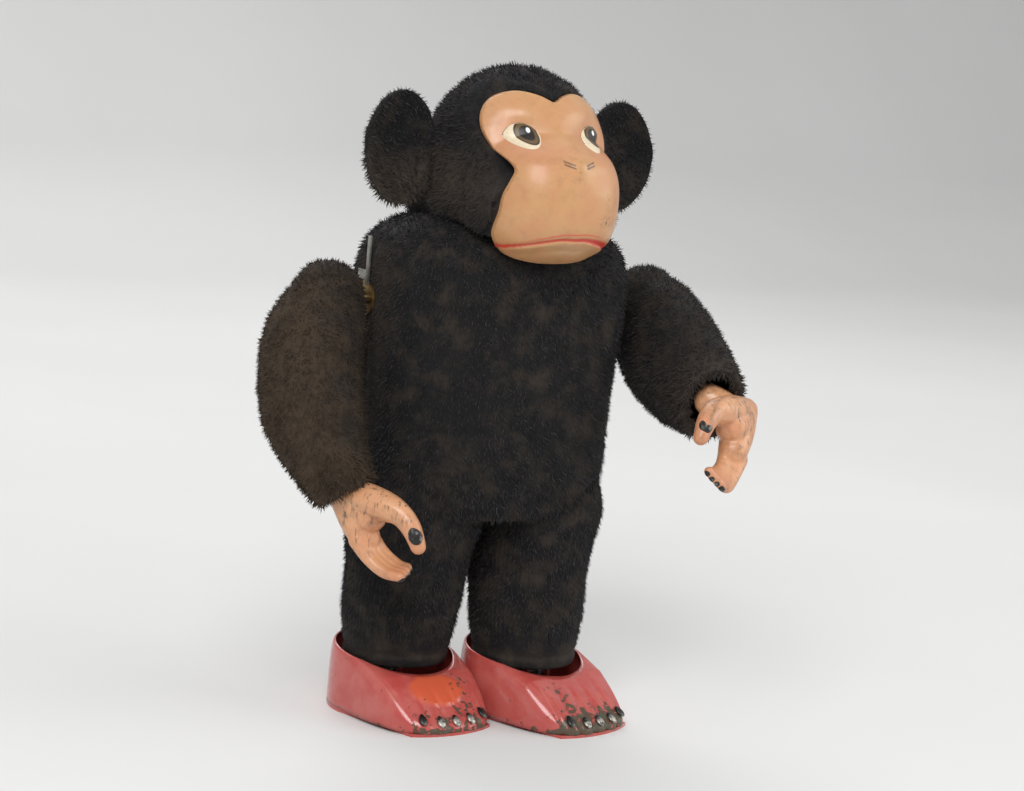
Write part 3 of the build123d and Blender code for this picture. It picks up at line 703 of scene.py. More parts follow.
@dataclass
class Torso:
    """The plush body from the neck to its lower edge, in rings above and below the hip pins."""

    rings: tuple[Spot, ...] = (
        (-15.5, 32.4, 22.0),
        (-11.5, 33.9, 24.4),
        (-6.0, 34.7, 26.0),
        (8.0, 35.2, 26.6),
        (26.0, 36.6, 27.0),
        (40.0, 37.2, 27.2),
        (50.0, 36.8, 26.7),
        (56.0, 34.2, 24.6),
        (60.0, 28.5, 20.5),
        (63.0, 19.0, 15.0),
    )
    square: float = 2.25
    lump: float = 0.55
    seam_depth: float = 0.7
    bush_side: float = 33.0

    def __post_init__(self) -> None:
        """Read where the hip pins and the key stand."""
        self.hip = pivot("leg_left_swing")
        self.key = pivot("key_wind")

    def build(self) -> bpy.types.Object:
        """Lay the cloth over the body, marked for its pile.

        Returns:
            The bare cloth.
        """
        piece = skin("body_plush", self._place, 168, 84)
        mark_plush(piece, self._cover, self._reach, self._wear)
        return piece

    def dress(self, piece: bpy.types.Object) -> None:
        """Grow the pile and hang the cloth on the body."""
        Pile(BLACK_PLUSH, 2.15, 1.7, 0.34, (0, 0, -0.75), 0.55, 11).grow(piece)
        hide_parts("torso_plush")
        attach(piece, "root")

    def _place(self, around: float, up: float) -> Spot:
        """Where the cloth lies, a share around from +X and up from the lower edge."""
        height, half_x, half_y = follow(list(self.rings), up)
        angle = around * math.tau
        cosine, sine = math.cos(angle), math.sin(angle)
        power = 2 / self.square
        x = half_x * math.copysign(abs(cosine) ** power, cosine)
        y = half_y * math.copysign(abs(sine) ** power, sine)
        spot = Vector((x, y, self.hip.z + height))
        swell = self.lump * grain(spot, 13.0, 3.0) + 0.22 * grain(spot, 3.2, 8.0)
        swell -= self.seam_depth * hump(abs(sine), 0.0, 0.035)
        swell -= 0.6 * hump(height, -9.0, 1.6)
        flat = Vector((x, y, 0)).normalized() * swell
        return (x + flat.x, y + flat.y, spot.z)

    def _cover(self, spot: Vector) -> float:
        """How thickly the pile grows: thin on the seams and bare round the key and shoulder bushes."""
        seam = 1 - 0.7 * hump(spot.y, 0.0, 0.9)
        key = ease(math.hypot(spot.x - self.key.x, spot.z - self.key.z), 5.0, 7.0) if spot.y > 0 else 1.0
        shoulder = pivot("arm_left_swing")
        from_axle = math.hypot(spot.y - shoulder.y, spot.z - shoulder.z)
        bush = ease(from_axle, 4.6, 6.4) if abs(spot.x) > self.bush_side else 1.0
        return seam * key * bush * (0.8 + 0.35 * grain(spot, 4.0, 1.0))

    def _reach(self, spot: Vector) -> float:
        """How long the pile stands, in tufts, shorter on the worn chest."""
        chest = 0.25 * hump(spot.z, 95.0, 22.0) if spot.y < 0 else 0.0
        return 0.95 - chest + 0.35 * grain(spot, 2.6, 5.0)

    def _wear(self, spot: Vector) -> float:
        """Browning along the side seams and in loose patches."""
        return max(0.5 * hump(abs(spot.x), 36.5, 1.5), ease(grain(spot, 9.0, 20.0), 0.25, 0.7) * 0.55)


@dataclass
class Trouser:
    """One plush leg: full at the hip, a tube below, and a rolled hem over the foot."""

    side: Side
    sections: tuple[tuple[float, float, float, float], ...] = (
        (-5.0, 13.8, 18.5, 3.6),
        (-11.0, 14.9, 20.4, 3.4),
        (-17.0, 15.8, 20.2, 3.0),
        (-25.0, 15.9, 18.0, 2.4),
        (-34.0, 15.7, 16.4, 2.1),
        (-46.0, 15.4, 15.1, 2.0),
        (-53.0, 14.6, 14.1, 2.0),
        (-56.8, 14.2, 13.7, 2.0),
        (-57.8, 13.7, 13.2, 2.0),
        (-57.0, 13.2, 12.7, 2.0),
        (-54.0, 13.0, 12.5, 2.0),
    )
    ribs: int = 74
    fold: float = -54.6

    def __post_init__(self) -> None:
        """Read the hip and ankle that the leg runs between."""
        self.hip = pivot(f"leg_{self.side.word}_swing")
        self.ankle = pivot(f"ankle_{self.side.word}")
        low, high = corners(f"trouser_{self.side.word}")
        self.middle = (low.x + high.x) / 2
        self.slope = (self.ankle.y - self.hip.y) / (self.ankle.z - self.hip.z)

    def build(self) -> bpy.types.Object:
        """Lay the leg's cloth, marked for its pile."""
        piece = skin(f"leg_plush_{self.side.word}", self._place, 4 * self.ribs, 64)
        mark_plush(piece, self._cover, self._reach, self._wear)
        return piece

    def dress(self, piece: bpy.types.Object) -> None:
        """Grow the pile and bake the cloth's place into its mesh."""
        Pile(BLACK_PLUSH, 2.3, 1.45, 0.33, (0, 0, -0.95), 0.4, 23 + self.side.value).grow(piece)
        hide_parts(f"trouser_{self.side.word}")
        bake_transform(piece)

    def _place(self, around: float, down: float) -> Spot:
        """Where the cloth lies, a share around and down the leg."""
        height, half_x, half_y, square = follow(list(self.sections), down)
        angle = around * math.tau
        cosine, sine = math.cos(angle), math.sin(angle)
        power = 2 / square
        x = half_x * math.copysign(abs(cosine) ** power, cosine)
        y = half_y * math.copysign(abs(sine) ** power, sine)
        spot = Vector((x, y, height))
        free = ease(height, self.fold + 1, self.fold + 9)
        swell = free * (0.5 * grain(spot, 10.0, self.side.value * 5.0) + 0.16 * math.cos(angle * self.ribs))
        swell -= 0.5 * hump(height, self.fold, 0.6)
        flat = Vector((x, y, 0)).normalized() * swell
        return (self.middle + x + flat.x, self.hip.y + self.slope * height + y + flat.y, self.hip.z + height)

    def _around(self, spot: Vector) -> float:
        """The angle round the leg at a place."""
        lean = self.hip.y + self.slope * (spot.z - self.hip.z)
        return math.atan2(spot.y - lean, spot.x - self.middle)

    def _cover(self, spot: Vector) -> float:
        """Pile in upright ribs, thin on the folded hem."""
        rib = 0.72 + 0.28 * math.cos(self._around(spot) * self.ribs / 2)
        above = ease(spot.z - self.hip.z, self.fold - 0.6, self.fold + 1.6)
        return rib * above * (0.85 + 0.3 * grain(spot, 3.0, 4.0))

    def _reach(self, spot: Vector) -> float:
        """Short pile near the hem, longer above."""
        above = ease(spot.z - self.hip.z, self.fold, self.fold + 9)
        return (0.45 + 0.5 * above) + 0.2 * grain(spot, 2.2, 2.0)

    def _wear(self, spot: Vector) -> float:
        """Brown tips in streaks and a dusty hem."""
        hem = hump(spot.z - self.hip.z, self.fold, 1.2)
        return 0.5 * ease(grain(spot, 6.0, 12.0), 0.15, 0.6) + 0.35 * hem


@dataclass
class Sleeve:
    """One stuffed arm: stations from the shoulder's crown to the frayed cuff."""

    side: Side
    finish: PlushFinish
    slot: str
    stations: tuple[tuple[float, float, float, float, float], ...]

    def __post_init__(self) -> None:
        """Read the shoulder axle that the stations are measured from."""
        self.shoulder = pivot(f"arm_{self.side.word}_swing")
        self.cuff = self._centre(0.97)

    def build(self) -> bpy.types.Object:
        """Lay the sleeve's cloth, marked for its pile."""
        piece = skin(f"sleeve_plush_{self.side.word}", self._place, 112, 96)
        mark_plush(piece, self._cover, self._reach, self._wear)
        return piece

    def dress(self, piece: bpy.types.Object) -> None:
        """Grow the pile and hang the sleeve on the arm."""
        Pile(self.finish, 2.5, 1.5, 0.34, (0, 0, -0.4), 0.7, 37 + self.side.value).grow(piece)
        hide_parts(f"sleeve_{self.side.word}")
        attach(piece, f"arm_{self.side.word}")

    def _row(self, along: float) -> list[float]:
        """The station at a share along: out, back, up, half width, half depth."""
        return follow(list(self.stations), along)

    def _centre(self, along: float) -> Vector:
        """The sleeve's middle at a share along it."""
        out, back, up = self._row(along)[:3]
        return Vector((self.side.value * out, self.shoulder.y + back, self.shoulder.z + up))

    def _place(self, around: float, along: float) -> Spot:
        """Where the cloth lies, a share around and along, with its cuff turned in."""
        reach = min(along / 0.94, 1.0)
        _, _, _, wide, deep = self._row(reach)
        tangent = (self._centre(min(reach + 0.02, 1.0)) - self._centre(max(reach - 0.02, 0.0))).normalized()
        level = (Vector((1, 0, 0)) - tangent * tangent.x).normalized()
        cross = tangent.cross(level)
        crown = math.sqrt(max(1 - (1 - min(reach / 0.12, 1.0)) ** 2, 0.0))
        turned = 1 - 0.22 * ease(along, 0.93, 0.98)
        angle = around * math.tau
        spoke = level * (wide * math.cos(angle)) + cross * (deep * math.sin(angle))
        middle = self._centre(reach) - tangent * (2.2 * ease(along, 0.96, 1.0))
        base = middle + spoke
        swell = 0.75 * grain(base, 9.0, 40.0 + self.side.value) + 0.3 * grain(base, 3.0, 44.0)
        swell *= crown * (1 - ease(along, 0.9, 0.95))
        frill = 0.5 * math.sin(angle * 9 + 2 * math.sin(angle * 2)) * hump(along, 0.935, 0.03)
        lift = spoke.normalized() * swell + tangent * frill
        return tuple(middle + spoke * crown * turned + lift)

    def _cover(self, spot: Vector) -> float:
        """Pile in moth-eaten patches."""
        return 0.55 + 0.6 * ease(grain(spot, 4.5, 30.0), -0.5, 0.2)

    def _reach(self, spot: Vector) -> float:
        """Longer, looser fibres at the cuff."""
        cuff = 0.45 * hump((spot - self.cuff).length, 8.0, 4.0)
        return 0.85 + 0.3 * grain(spot, 2.4, 6.0) + cuff

    def _wear(self, spot: Vector) -> float:
        """Fading on the outer side of the arm and at the cuff."""
        outer = ease(abs(spot.x), 48.0, 62.0)
        cuff = hump((spot - self.cuff).length, 6.0, 7.0)
        return min(0.25 + 0.5 * outer + 0.5 * cuff, 1.0)


@dataclass
class Head:
    """The plush head: a skull and a muzzle collar under the mask, with two cupped ears."""

    face: "Face"
    skull: Spot = (24.2, 23.8, 26.6)
    collar: Spot = (20.8, 25.5, 19.5)
    collar_middle: tuple[float, float] = (-6.0, 141.5)
    collar_rise: float = 11.5
    collar_square: float = 7.0
    under_mask: float = 2.2
    lowest: float = 2.12
    tuck_share: float = 0.95

    def __post_init__(self) -> None:
        """Read where the skull stands."""
        low, high = corners("head_plush")
        self.middle = Vector(((low.x + high.x) / 2, high.y - 25.0, high.z - 27.0))

    def build(self) -> list[bpy.types.Object]:
        """Lay the head's cloth and both ears."""
        cap = skin("head_plush_cover", self._place, 180, 110)
        mark_plush(cap, self._cover, self._reach, self._wear)
        return [cap] + [self._ear(side) for side in Side]

    def dress(self, pieces: list[bpy.types.Object]) -> None:
        """Grow the pile and fix the cloth to the head."""
        cap, *ears = pieces
        Pile(BLACK_PLUSH, 2.6, 1.5, 0.32, (0, 0.35, -0.35), 0.55, 51).grow(cap)
        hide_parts("head_plush")
        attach(cap, "root")
        for side, ear in zip(Side, ears):
            Pile(BLACK_PLUSH, 3.2, 1.35, 0.3, (0, -0.1, -0.35), 0.6, 57 + side.value).grow(ear)
            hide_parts(f"ear_{side.word}")
            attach(ear, "root")

    def _place(self, around: float, down: float) -> Spot:
        """Where the cloth lies, by direction from the middle of the skull."""
        polar = min(down / self.tuck_share, 1.0) * self.lowest
        angle = around * math.tau
        way = Vector((math.sin(polar) * math.cos(angle), math.sin(polar) * math.sin(angle), math.cos(polar)))
        spot = self.middle + way * self._reach_out(way)
        tuck = ease(down, self.tuck_share, 1.0)
        narrow = 1 - 0.4 * tuck
        spot = Vector((spot.x * narrow, self.middle.y + (spot.y - self.middle.y) * narrow, spot.z - tuck))
        edge = self.face.nearness(spot)
        swell = 0.35 * grain(spot, 8.0, 60.0) + 0.18 * grain(spot, 2.6, 66.0) + 0.5 * hump(edge, 1.07, 0.05)
        spot += way * swell
        if edge < 1.06:
            mask = self.face.forward(spot.x - self.face.middle.x, spot.z - self.face.middle.z)
            behind = -mask + self.under_mask * ease(edge, 1.05, 0.97)
            spot.y = max(spot.y, behind)
        return tuple(spot)

    def _reach_out(self, way: Vector) -> float:
        """Distance from the middle of the skull to the cloth, blending skull and collar.

        Args:
            way: The direction, of length 1.

        Returns:
            The distance in millimetres.
        """
        skull = 1 / math.sqrt(sum((w / s) ** 2 for w, s in zip(way, self.skull)))
        near, far = 0.0, 60.0
        for _ in range(16):
            reach = (near + far) / 2
            if self._within_collar(self.middle + way * reach):
                near = reach
            else:
                far = reach
        return soft_max(skull, near, 2.0)

    def _within_collar(self, spot: Vector) -> bool:
        """Whether a place is inside the round, square-fronted collar of the muzzle."""
        wide, deep, tall = self.collar
        back, level = self.collar_middle
        up = spot.z - level
        around = math.hypot(spot.x / wide, up / (self.collar_rise if up > 0 else tall))
        return around**self.collar_square + (abs(spot.y - back) / deep) ** self.collar_square < 1

    def _cover(self, spot: Vector) -> float:
        """No pile under the mask, and a dense edge beside it."""
        return ease(self.face.nearness(spot), 1.0, 1.03) * (0.9 + 0.3 * grain(spot, 3.0, 61.0))

    def _reach(self, spot: Vector) -> float:
        """Shorter pile beside the mask."""
        return 0.6 + 0.4 * ease(self.face.nearness(spot), 1.0, 1.25) + 0.25 * grain(spot, 2.4, 62.0)

    def _wear(self, spot: Vector) -> float:
        """Brown cheeks under the right ear, and a few faded flecks."""
        cheek = hump(spot.x, -23.0, 6.0) * hump(spot.z, 143.0, 9.0)
        return min(0.95 * cheek + 0.3 * ease(grain(spot, 7.0, 63.0), 0.3, 0.7), 1.0)

    def _ear(self, side: Side) -> bpy.types.Object:
        """One cupped ear, its hollow facing forwards.

        Args:
            side: Which of the figure's ears.

        Returns:
            The bare ear, marked for its pile.
        """
        low, high = corners(f"ear_{side.word}")
        centre = (low + high) / 2
        wide, tall, thick = (high.x - low.x) / 2 - 0.3, (high.z - low.z) / 2 - 0.4, 2.1

        def place(around: float, through: float) -> Spot:
            """A closed cushion whose front is hollowed, from the front's middle to the back's."""
            angle = around * math.tau
            front = through < 0.5
            spread = math.sin(min(through, 1 - through) * math.pi)
            lobe = 1 + 0.06 * math.cos(2 * angle + 0.6)
            out, up = math.cos(angle) * spread * wide * lobe, math.sin(angle) * spread * tall
            rim = spread**2
            depth = (1.6 - 3.4 * rim) if front else (3.6 - 3.4 * rim)
            depth += (-1 if front else 1) * 0.8 * math.sqrt(max(1 - rim, 0.0))
            depth += -thick * 0.3 * math.cos(angle) * side.value * rim
            lump = Vector((out, up, depth))
            wave = 0.6 * grain(lump, 5.0, 70.0 + side.value)
            return (centre.x + out, centre.y + depth + wave, centre.z + up)

        piece = skin(f"ear_plush_{side.word}", place, 72, 48)

        def wear(spot: Vector) -> float:
            """The right ear's lower half has faded."""
            lower = ease(spot.z, centre.z + 3.0, centre.z - 8.0)
            return lower * (1.0 if side is Side.RIGHT else 0.25)

        mark_plush(
            piece,
            lambda spot: 0.8 + 0.3 * grain(spot, 3.0, 71.0),
            lambda spot: 0.9 + 0.5 * wear(spot) + 0.3 * grain(spot, 2.4, 72.0),
            wear,
        )
        return piece


# ---------------------------------------------------------------- painted tin


@dataclass
class Face:
    """The pressed mask: brow lobes over sunk eye sockets, a broad muzzle, and painted eyes.

    Outlines are (degrees from straight up, distance from the middle) on one half.
    """

    outline: tuple[tuple[float, float], ...] = (
        (0.0, 19.6),
        (10.0, 21.4),
        (23.0, 23.6),
        (40.0, 24.2),
        (56.0, 21.8),
        (70.0, 17.0),
        (79.0, 15.2),
        (90.0, 15.8),
        (103.0, 17.4),
        (116.0, 19.2),
        (130.0, 22.2),
        (142.0, 23.2),
        (153.0, 22.8),
        (166.0, 21.9),
        (180.0, 21.5),
    )
    middle_drop: float = 28.0
    rim_share: float = 0.965
    back_limit: float = -8.0
    eye: tuple[float, float] = (10.2, 11.0)
    eye_size: Spot = (4.5, 3.2, 1.1)
    mouth: Spot = (17.2, 13.8, 4.6)

    def __post_init__(self) -> None:
        """Read where the head's top and its face stand."""
        low, high = corners("face_mask")
        self.head_top = corners("head_plush")[1].z
        self.middle = Vector(((low.x + high.x) / 2, 0.0, self.head_top - self.middle_drop))

    def nearness(self, spot: Vector) -> float:
        """A place's distance from the middle of the mask, where 1 is the mask's edge."""
        if spot.y > self.back_limit:
            return 2.0
        out, up = abs(spot.x - self.middle.x), spot.z - self.middle.z
        return math.hypot(out, up) / self._edge(math.degrees(math.atan2(out, up)))

    def _edge(self, degrees: float) -> float:
        """The outline's distance, on a smooth run through its points.

        Args:
            degrees: The angle from straight up.

        Returns:
            The distance from the mask's middle in millimetres.
        """
        turn = abs((degrees + 180) % 360 - 180)
        run = self.outline
        at = next(k for k in range(len(run) - 1) if turn <= run[k + 1][0] + 1e-6)
        (start, near), (stop, far) = run[at], run[at + 1]
        before = run[at - 1] if at else (-run[1][0], run[1][1])
        after = run[at + 2] if at + 2 < len(run) else (360 - run[-2][0], run[-2][1])
        span = stop - start
        first = (far - before[1]) / (stop - before[0]) * span
        last = (after[1] - near) / (after[0] - start) * span
        t = (turn - start) / span
        return (
            near * (2 * t**3 - 3 * t * t + 1)
            + first * (t**3 - 2 * t * t + t)
            + far * (3 * t * t - 2 * t**3)
            + last * (t**3 - t * t)
        )

    def forward(self, x: float, up: float) -> float:
        """How far forward of the body's middle the mask stands.

        Args:
            x: How far across from the mask's middle.
            up: How far above the mask's middle.

        Returns:
            The distance forward in millimetres.
        """
        skull_up = up - 1.0
        skull = 6.5 + 24.6 * math.sqrt(max(1 - (x / 25.0) ** 2 - (skull_up / 27.0) ** 2, 0.0))
        side, rise = abs(x / 19.8) ** 2.9, abs((up + 5.4) / 18.2) ** 2.6
        muzzle = 14.0 + 27.4 * max(1 - side - rise, 0.0) ** 0.42
        base = soft_max(skull, muzzle, 4.5)
        for sign in (-1, 1):
            eye = hump(x, sign * self.eye[0], 5.6) * hump(up, self.eye[1] + 0.4, 4.4)
            brow = hump(x, sign * 10.0, 7.0) * hump(up, self.eye[1] + 6.2, 2.6)
            pouch = hump(x, sign * 9.5, 4.2) * hump(up, self.eye[1] - 5.6, 1.8)
            nostril = hump(x, sign * 2.9, 1.5) * hump(up, 4.6, 0.8)
            base += 0.5 * brow + 0.45 * pouch - 1.7 * eye - 0.35 * nostril
        base += 1.0 * hump(x, 0, 3.2) * hump(up, 8.0, 5.0) + 0.9 * hump(x, 0, 4.6) * hump(up, 5.2, 2.2)
        below = self._lip(x) - up
        base -= 0.75 * hump(below, 0.0, 0.55) + 1.1 * ease(below, 0.4, 3.5)
        return base

    def _lip(self, x: float) -> float:
        """Height of the line between the lips, above the mask's middle."""
        wide, low, arch = self.mouth
        return -low - arch * (abs(x) / wide) ** 1.75 - 0.35 * hump(x, 0, 2.5)

    def build(self) -> list[bpy.types.Object]:
        """Press the mask and lay both eyes in it."""

        def place(around: float, out: float) -> Spot:
            """A spoke of the mask, from its middle to its turned edge."""
            degrees = around * 360
            share = min(out / self.rim_share, 1.0)
            reach = self._edge(degrees) * share
            x, up = reach * math.sin(math.radians(degrees)), reach * math.cos(math.radians(degrees))
            back = 1.6 * ease(out, self.rim_share, 1.0)
            return (self.middle.x + x, -self.forward(x, up) + back, self.middle.z + up)

        mask = skin("face_mask_painted", place, 256, 120, 0.45)
        paints = {"lip": self._lips, "blush": self._blush, "shade": self._shade, "grime": self._grime}
        for name, measure in paints.items():
            brush(mask, name, measure)
        return [mask] + [self._eye(side) for side in Side]

    def dress(self, pieces: list[bpy.types.Object]) -> None:
        """Paint the mask and the eyes."""
        mask, *eyes = pieces
        FACE_PAINT.apply(mask)
        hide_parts("face_mask")
        for eye in eyes:
            EYES.apply(eye)
        for piece in pieces:
            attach(piece, "root")

    def _flat(self, spot: Vector) -> tuple[float, float]:
        """A place in front view, from the middle of the mask."""
        return spot.x - self.middle.x, spot.z - self.middle.z

    def _lips(self, spot: Vector) -> float:
        """A red line along the mouth that thickens towards the left corner."""
        x, up = self._flat(spot)
        below = self._lip(x) - up
        thick = 0.3 + 0.7 * ease(x, -2.0, 14.0) + 0.3 * ease(x, -11.0, -16.0)
        line = ease(abs(below + 0.25 * thick), thick + 0.22, thick - 0.12)
        span = ease(x, -17.0, -6.0) * ease(x, 13.0, 4.0)
        second = 0.75 * ease(abs(below + 1.5 + 0.03 * x), 0.36, 0.1) * span
        return max(line, second) * ease(abs(x), 18.4, 17.0)

    def _blush(self, spot: Vector) -> float:
        """Rosy sockets, cheeks and mouth corners."""
        x, up = self._flat(spot)
        socket = hump(abs(x), self.eye[0] + 1.5, 7.5) * hump(up, self.eye[1] - 2.0, 6.5)
        corner = hump(abs(x), 16.0, 4.0) * hump(up, self._lip(x), 4.0)
        return min(0.75 * socket + 0.5 * corner, 1.0)

    def _shade(self, spot: Vector) -> float:
        """Nostril strokes, and the worn scribble and a fleck on the muzzle."""
        x, up = self._flat(spot)
        marks = 0.0
        for sign in (-1, 1):
            for offset in (0.0, 0.75):
                slant = (abs(x) - 2.9) * 0.3
                stroke = ease(abs(up - 4.5 - offset - slant), 0.34, 0.12) * ease(abs(abs(x) - 3.1), 1.7, 1.2)
                marks = max(marks, 0.85 * stroke * (1.0 if sign * x > 0 else 0.0))
        scribble = hump(x, 9.6, 2.8) * hump(up, -9.2, 1.3) * ease(abs(grain(spot, 1.1, 90.0)), 0.16, 0.05)
        fleck = hump(x, 9.0, 2.2) * hump(up, -3.6, 1.2) * ease(grain(spot, 0.8, 91.0), 0.25, 0.45)
        return min(max(marks, 0.9 * scribble, 0.7 * fleck), 1.0)

    def _grime(self, spot: Vector) -> float:
        """Dirt that gathers at the edge and beside the nose."""
        x, up = self._flat(spot)
        return min(0.35 * ease(self.nearness(spot), 0.93, 1.0) + 0.3 * hump(x, 0, 6) * hump(up, 5, 4), 1.0)

    def _eye(self, side: Side) -> bpy.types.Object:
        """One painted eye, a low dome with pointed corners.

        Args:
            side: Which of the figure's eyes.

        Returns:
            The eye, marked for its rings and its glint.
        """
        sign = side.value
        wide, tall, dome = self.eye_size
        slant = 0.8 + 0.4 * sign
        centre_x, centre_up = sign * self.eye[0], self.eye[1]
        gaze = Vector((centre_x + 0.8, 0.0, centre_up + 0.7))

        def place(around: float, out: float) -> Spot:
            """A spoke of the eye."""
            angle = around * math.tau
            cosine, sine = math.cos(angle), math.sin(angle)
            almond = 1 - 0.45 * abs(cosine) ** 3
            x = centre_x + wide * out * cosine
            up = centre_up + tall * out * sine * almond + slant * out * cosine
            lift = 0.55 + dome * (1 - out * out)
            return (self.middle.x + x, -self.forward(x, up) - lift + 0.9 * out**6, self.middle.z + up)

        eye = skin(f"eye_{side.word}", place, 96, 40, 0.3)

        def ring(spot: Vector) -> float:
            """Distance from the pupil's middle, and the dark lid line at the rim."""
            x, up = self._flat(spot)
            iris = math.hypot(x - gaze.x, (up - gaze.z) * 1.05) / 4.1
            across = (x - centre_x) / wide
            almond = 1 - 0.45 * min(abs(across), 1.0) ** 3
            rise = (up - centre_up - slant * across) / (tall * almond)
            rim = math.hypot(across, rise)
            lid = ease(rim, 0.88, 0.93) if rise > 0.0 else 0.0
            return max(min(iris, 0.93), lid)

        def glint(spot: Vector) -> float:
            """White light painted on the iris."""
            x, up = self._flat(spot)
            return ease(math.hypot(x - gaze.x - 0.5, (up - gaze.z - 0.7) * 0.8), 0.6, 0.4)

        brush(eye, "ring", ring)
        brush(eye, "glint", glint)
        return eye


def nail(shape: bmesh.types.BMesh, spot: Vector, along: Vector, outward: Vector, size: Spot) -> None:
    """Add one nail to a bmesh: a flattened drop that lies on a finger or toe.

    Args:
        shape: The bmesh that holds all the nails of one hand or foot.
        spot: The nail's middle, in millimetres.
        along: The way the finger points.
        outward: The way the nail faces.
        size: Half length, half width and half thickness, in millimetres.
    """
    run = along.normalized()
    face = (outward - run * outward.dot(run)).normalized()
    across = face.cross(run)
    turn = Matrix((run, across, face)).transposed().to_4x4()
    scale = Matrix.Diagonal((*[part * MM for part in size], 1.0))
    made = bmesh.ops.create_uvsphere(
        shape, u_segments=20, v_segments=12, radius=1.0, matrix=Matrix.Translation(spot * MM) @ turn @ scale
    )
    for vert in made["verts"]:
        ahead = (vert.co / MM - spot).dot(run) / size[0]
        vert.co -= across * ((vert.co / MM - spot).dot(across) * MM * 0.35 * ease(ahead, 0.3, -1.0))


@dataclass
class Hand:
    """One gripping tin hand, in its own frame: along the hand, towards its upper digit, and across."""

    side: Side
    wrist: Spot
    point: Spot
    upper: Spot
    cuff: Spot
    thumb_over: float = 0.0
    chains: tuple[tuple[tuple[float, float, float, float], ...], ...] = (
        (
            (-4.0, 0.0, 0.0, 3.9),
            (3.0, 3.0, 0.0, 4.5),
            (8.5, 5.6, 0.0, 4.1),
            (13.5, 7.4, 0.0, 3.2),
            (18.5, 6.6, 0.0, 2.7),
            (22.6, 4.2, 0.0, 2.1),
        ),
        ((-4.0, 0.0, 0.0, 3.9), (3.0, -3.2, 0.0, 4.6), (8.5, -5.8, 0.0, 4.1)),
        ((0.0, 0.0, 0.0, 4.6), (6.5, 0.0, 0.0, 4.5)),
    )
    digits: tuple[Spot, ...] = ((2.9, 0.0, 0.0), (1.0, -0.5, 0.0), (-0.95, -0.9, 0.0), (-2.9, -1.6, 0.0))
    bead: float = 0.34
    beads_a_link: int = 14
    smoothings: int = 5

    def __post_init__(self) -> None:
        """Work out the hand's own frame from the shoulder axle."""
        self.shoulder = pivot(f"arm_{self.side.word}_swing")
        out, back, up = self.wrist
        self.origin = Vector((self.side.value * out, self.shoulder.y + back, self.shoulder.z + up))
        self.along = Vector(self.point).normalized()
        lean = Vector(self.upper)
        self.rise = (lean - self.along * lean.dot(self.along)).normalized()
        self.over = self.along.cross(self.rise)
        if self.over.x * self.side.value < 0:
            self.over = -self.over

    def _spot(self, along: float, rise: float, over: float) -> Vector:
        """A place in the hand's frame, in millimetres."""
        return self.origin + self.along * along + self.rise * rise + self.over * over

    def _thumb(self) -> list[tuple[float, float, float, float]]:
        """The upper digit, leaning over towards the first finger."""
        last = len(self.chains[0]) - 1
        return [
            (along, rise, over + self.thumb_over * step / last, radius)
            for step, (along, rise, over, radius) in enumerate(self.chains[0])
        ]

    def _wrist(self) -> list[tuple[float, float, float, float]]:
        """The wrist, from inside the cuff to the palm."""
        out, back, up = self.cuff
        start = self._local(Vector((self.side.value * out, self.shoulder.y + back, self.shoulder.z + up)))
        return [(*start, 4.6), (*(start * 0.5), 4.6), (1.0, 0.0, 0.0, 4.8)]

    def _fingers(self) -> list[tuple[tuple[float, float, float, float], ...]]:
        """The four lower fingers, side by side and a little staggered."""
        runs = []
        for over, short, drop in self.digits:
            runs.append(
                (
                    (8.0, -6.2 - 0.6 * drop, over * 0.85, 2.6),
                    (13.5, -8.0 - 0.4 * short - 0.8 * drop, over, 1.75),
                    (19.0, -7.7 - 0.3 * short - drop, over, 1.6),
                    (23.2 + short, -5.6 - drop, over * 0.9, 1.35),
                )
            )
        return runs

    def build(self) -> list[bpy.types.Object]:
        """Press the hand from overlapping beads of tin, and lay its nails.

        Returns:
            The hand and its nails.
        """
        shape = bmesh.new()
        for chain in [self._thumb(), *self.chains[1:], *self._fingers(), self._wrist()]:
            steps = self.beads_a_link * (len(chain) - 1)
            for step in range(steps + 1):
                along, rise, over, radius = follow(list(chain), step / steps)
                place = Matrix.Translation(self._spot(along, rise, over) * MM)
                bmesh.ops.create_icosphere(shape, subdivisions=2, radius=radius * MM, matrix=place)
        hand = show(f"hand_tin_{self.side.word}", shape)
        melt = hand.modifiers.new("melt", "REMESH")
        melt.mode = "VOXEL"
        melt.voxel_size = self.bead * MM
        graph = bpy.context.evaluated_depsgraph_get()
        solid = bpy.data.meshes.new_from_object(hand.evaluated_get(graph))
        hand.modifiers.clear()
        smooth = bmesh.new()
        smooth.from_mesh(solid)
        for _ in range(self.smoothings):
            bmesh.ops.smooth_vert(
                smooth, verts=smooth.verts, factor=0.5, use_axis_x=True, use_axis_y=True, use_axis_z=True
            )
        for face in smooth.faces:
            face.smooth = True
        smooth.to_mesh(hand.data)
        smooth.free()
        brush(hand, "grime", self._grime)
        # blush at the finger tips and painted shade in the crook
        brush(hand, "blush", self._blush)
        brush(hand, "shade", self._shade)
        return [hand, self._nails()]

    def dress(self, pieces: list[bpy.types.Object]) -> None:
        """Paint the hand and its nails, and fix them to the arm."""
        hand, nails = pieces
        HAND_PAINT.apply(hand)
        NAILS.apply(nails)
        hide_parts(f"hand_outer_{self.side.word}", f"hand_inner_{self.side.word}")
        for piece in pieces:
            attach(piece, f"arm_{self.side.word}")

    def _local(self, spot: Vector) -> Vector:
        """A place as its along, rise and over."""
        gap = spot - self.origin
        return Vector((gap.dot(self.along), gap.dot(self.rise), gap.dot(self.over)))

    def _grime(self, spot: Vector) -> float:
        """Streaks on the back of the hand and along its upper edge."""
        at = self._local(spot)
        back = ease(at.z, 0.5, 3.0) * hump(at.x, 5.0, 8.0)
        return min(0.95 * back + 0.7 * ease(at.y, 6.0, 8.5) + 0.3 * ease(at.y, -8.0, -9.5), 1.0)

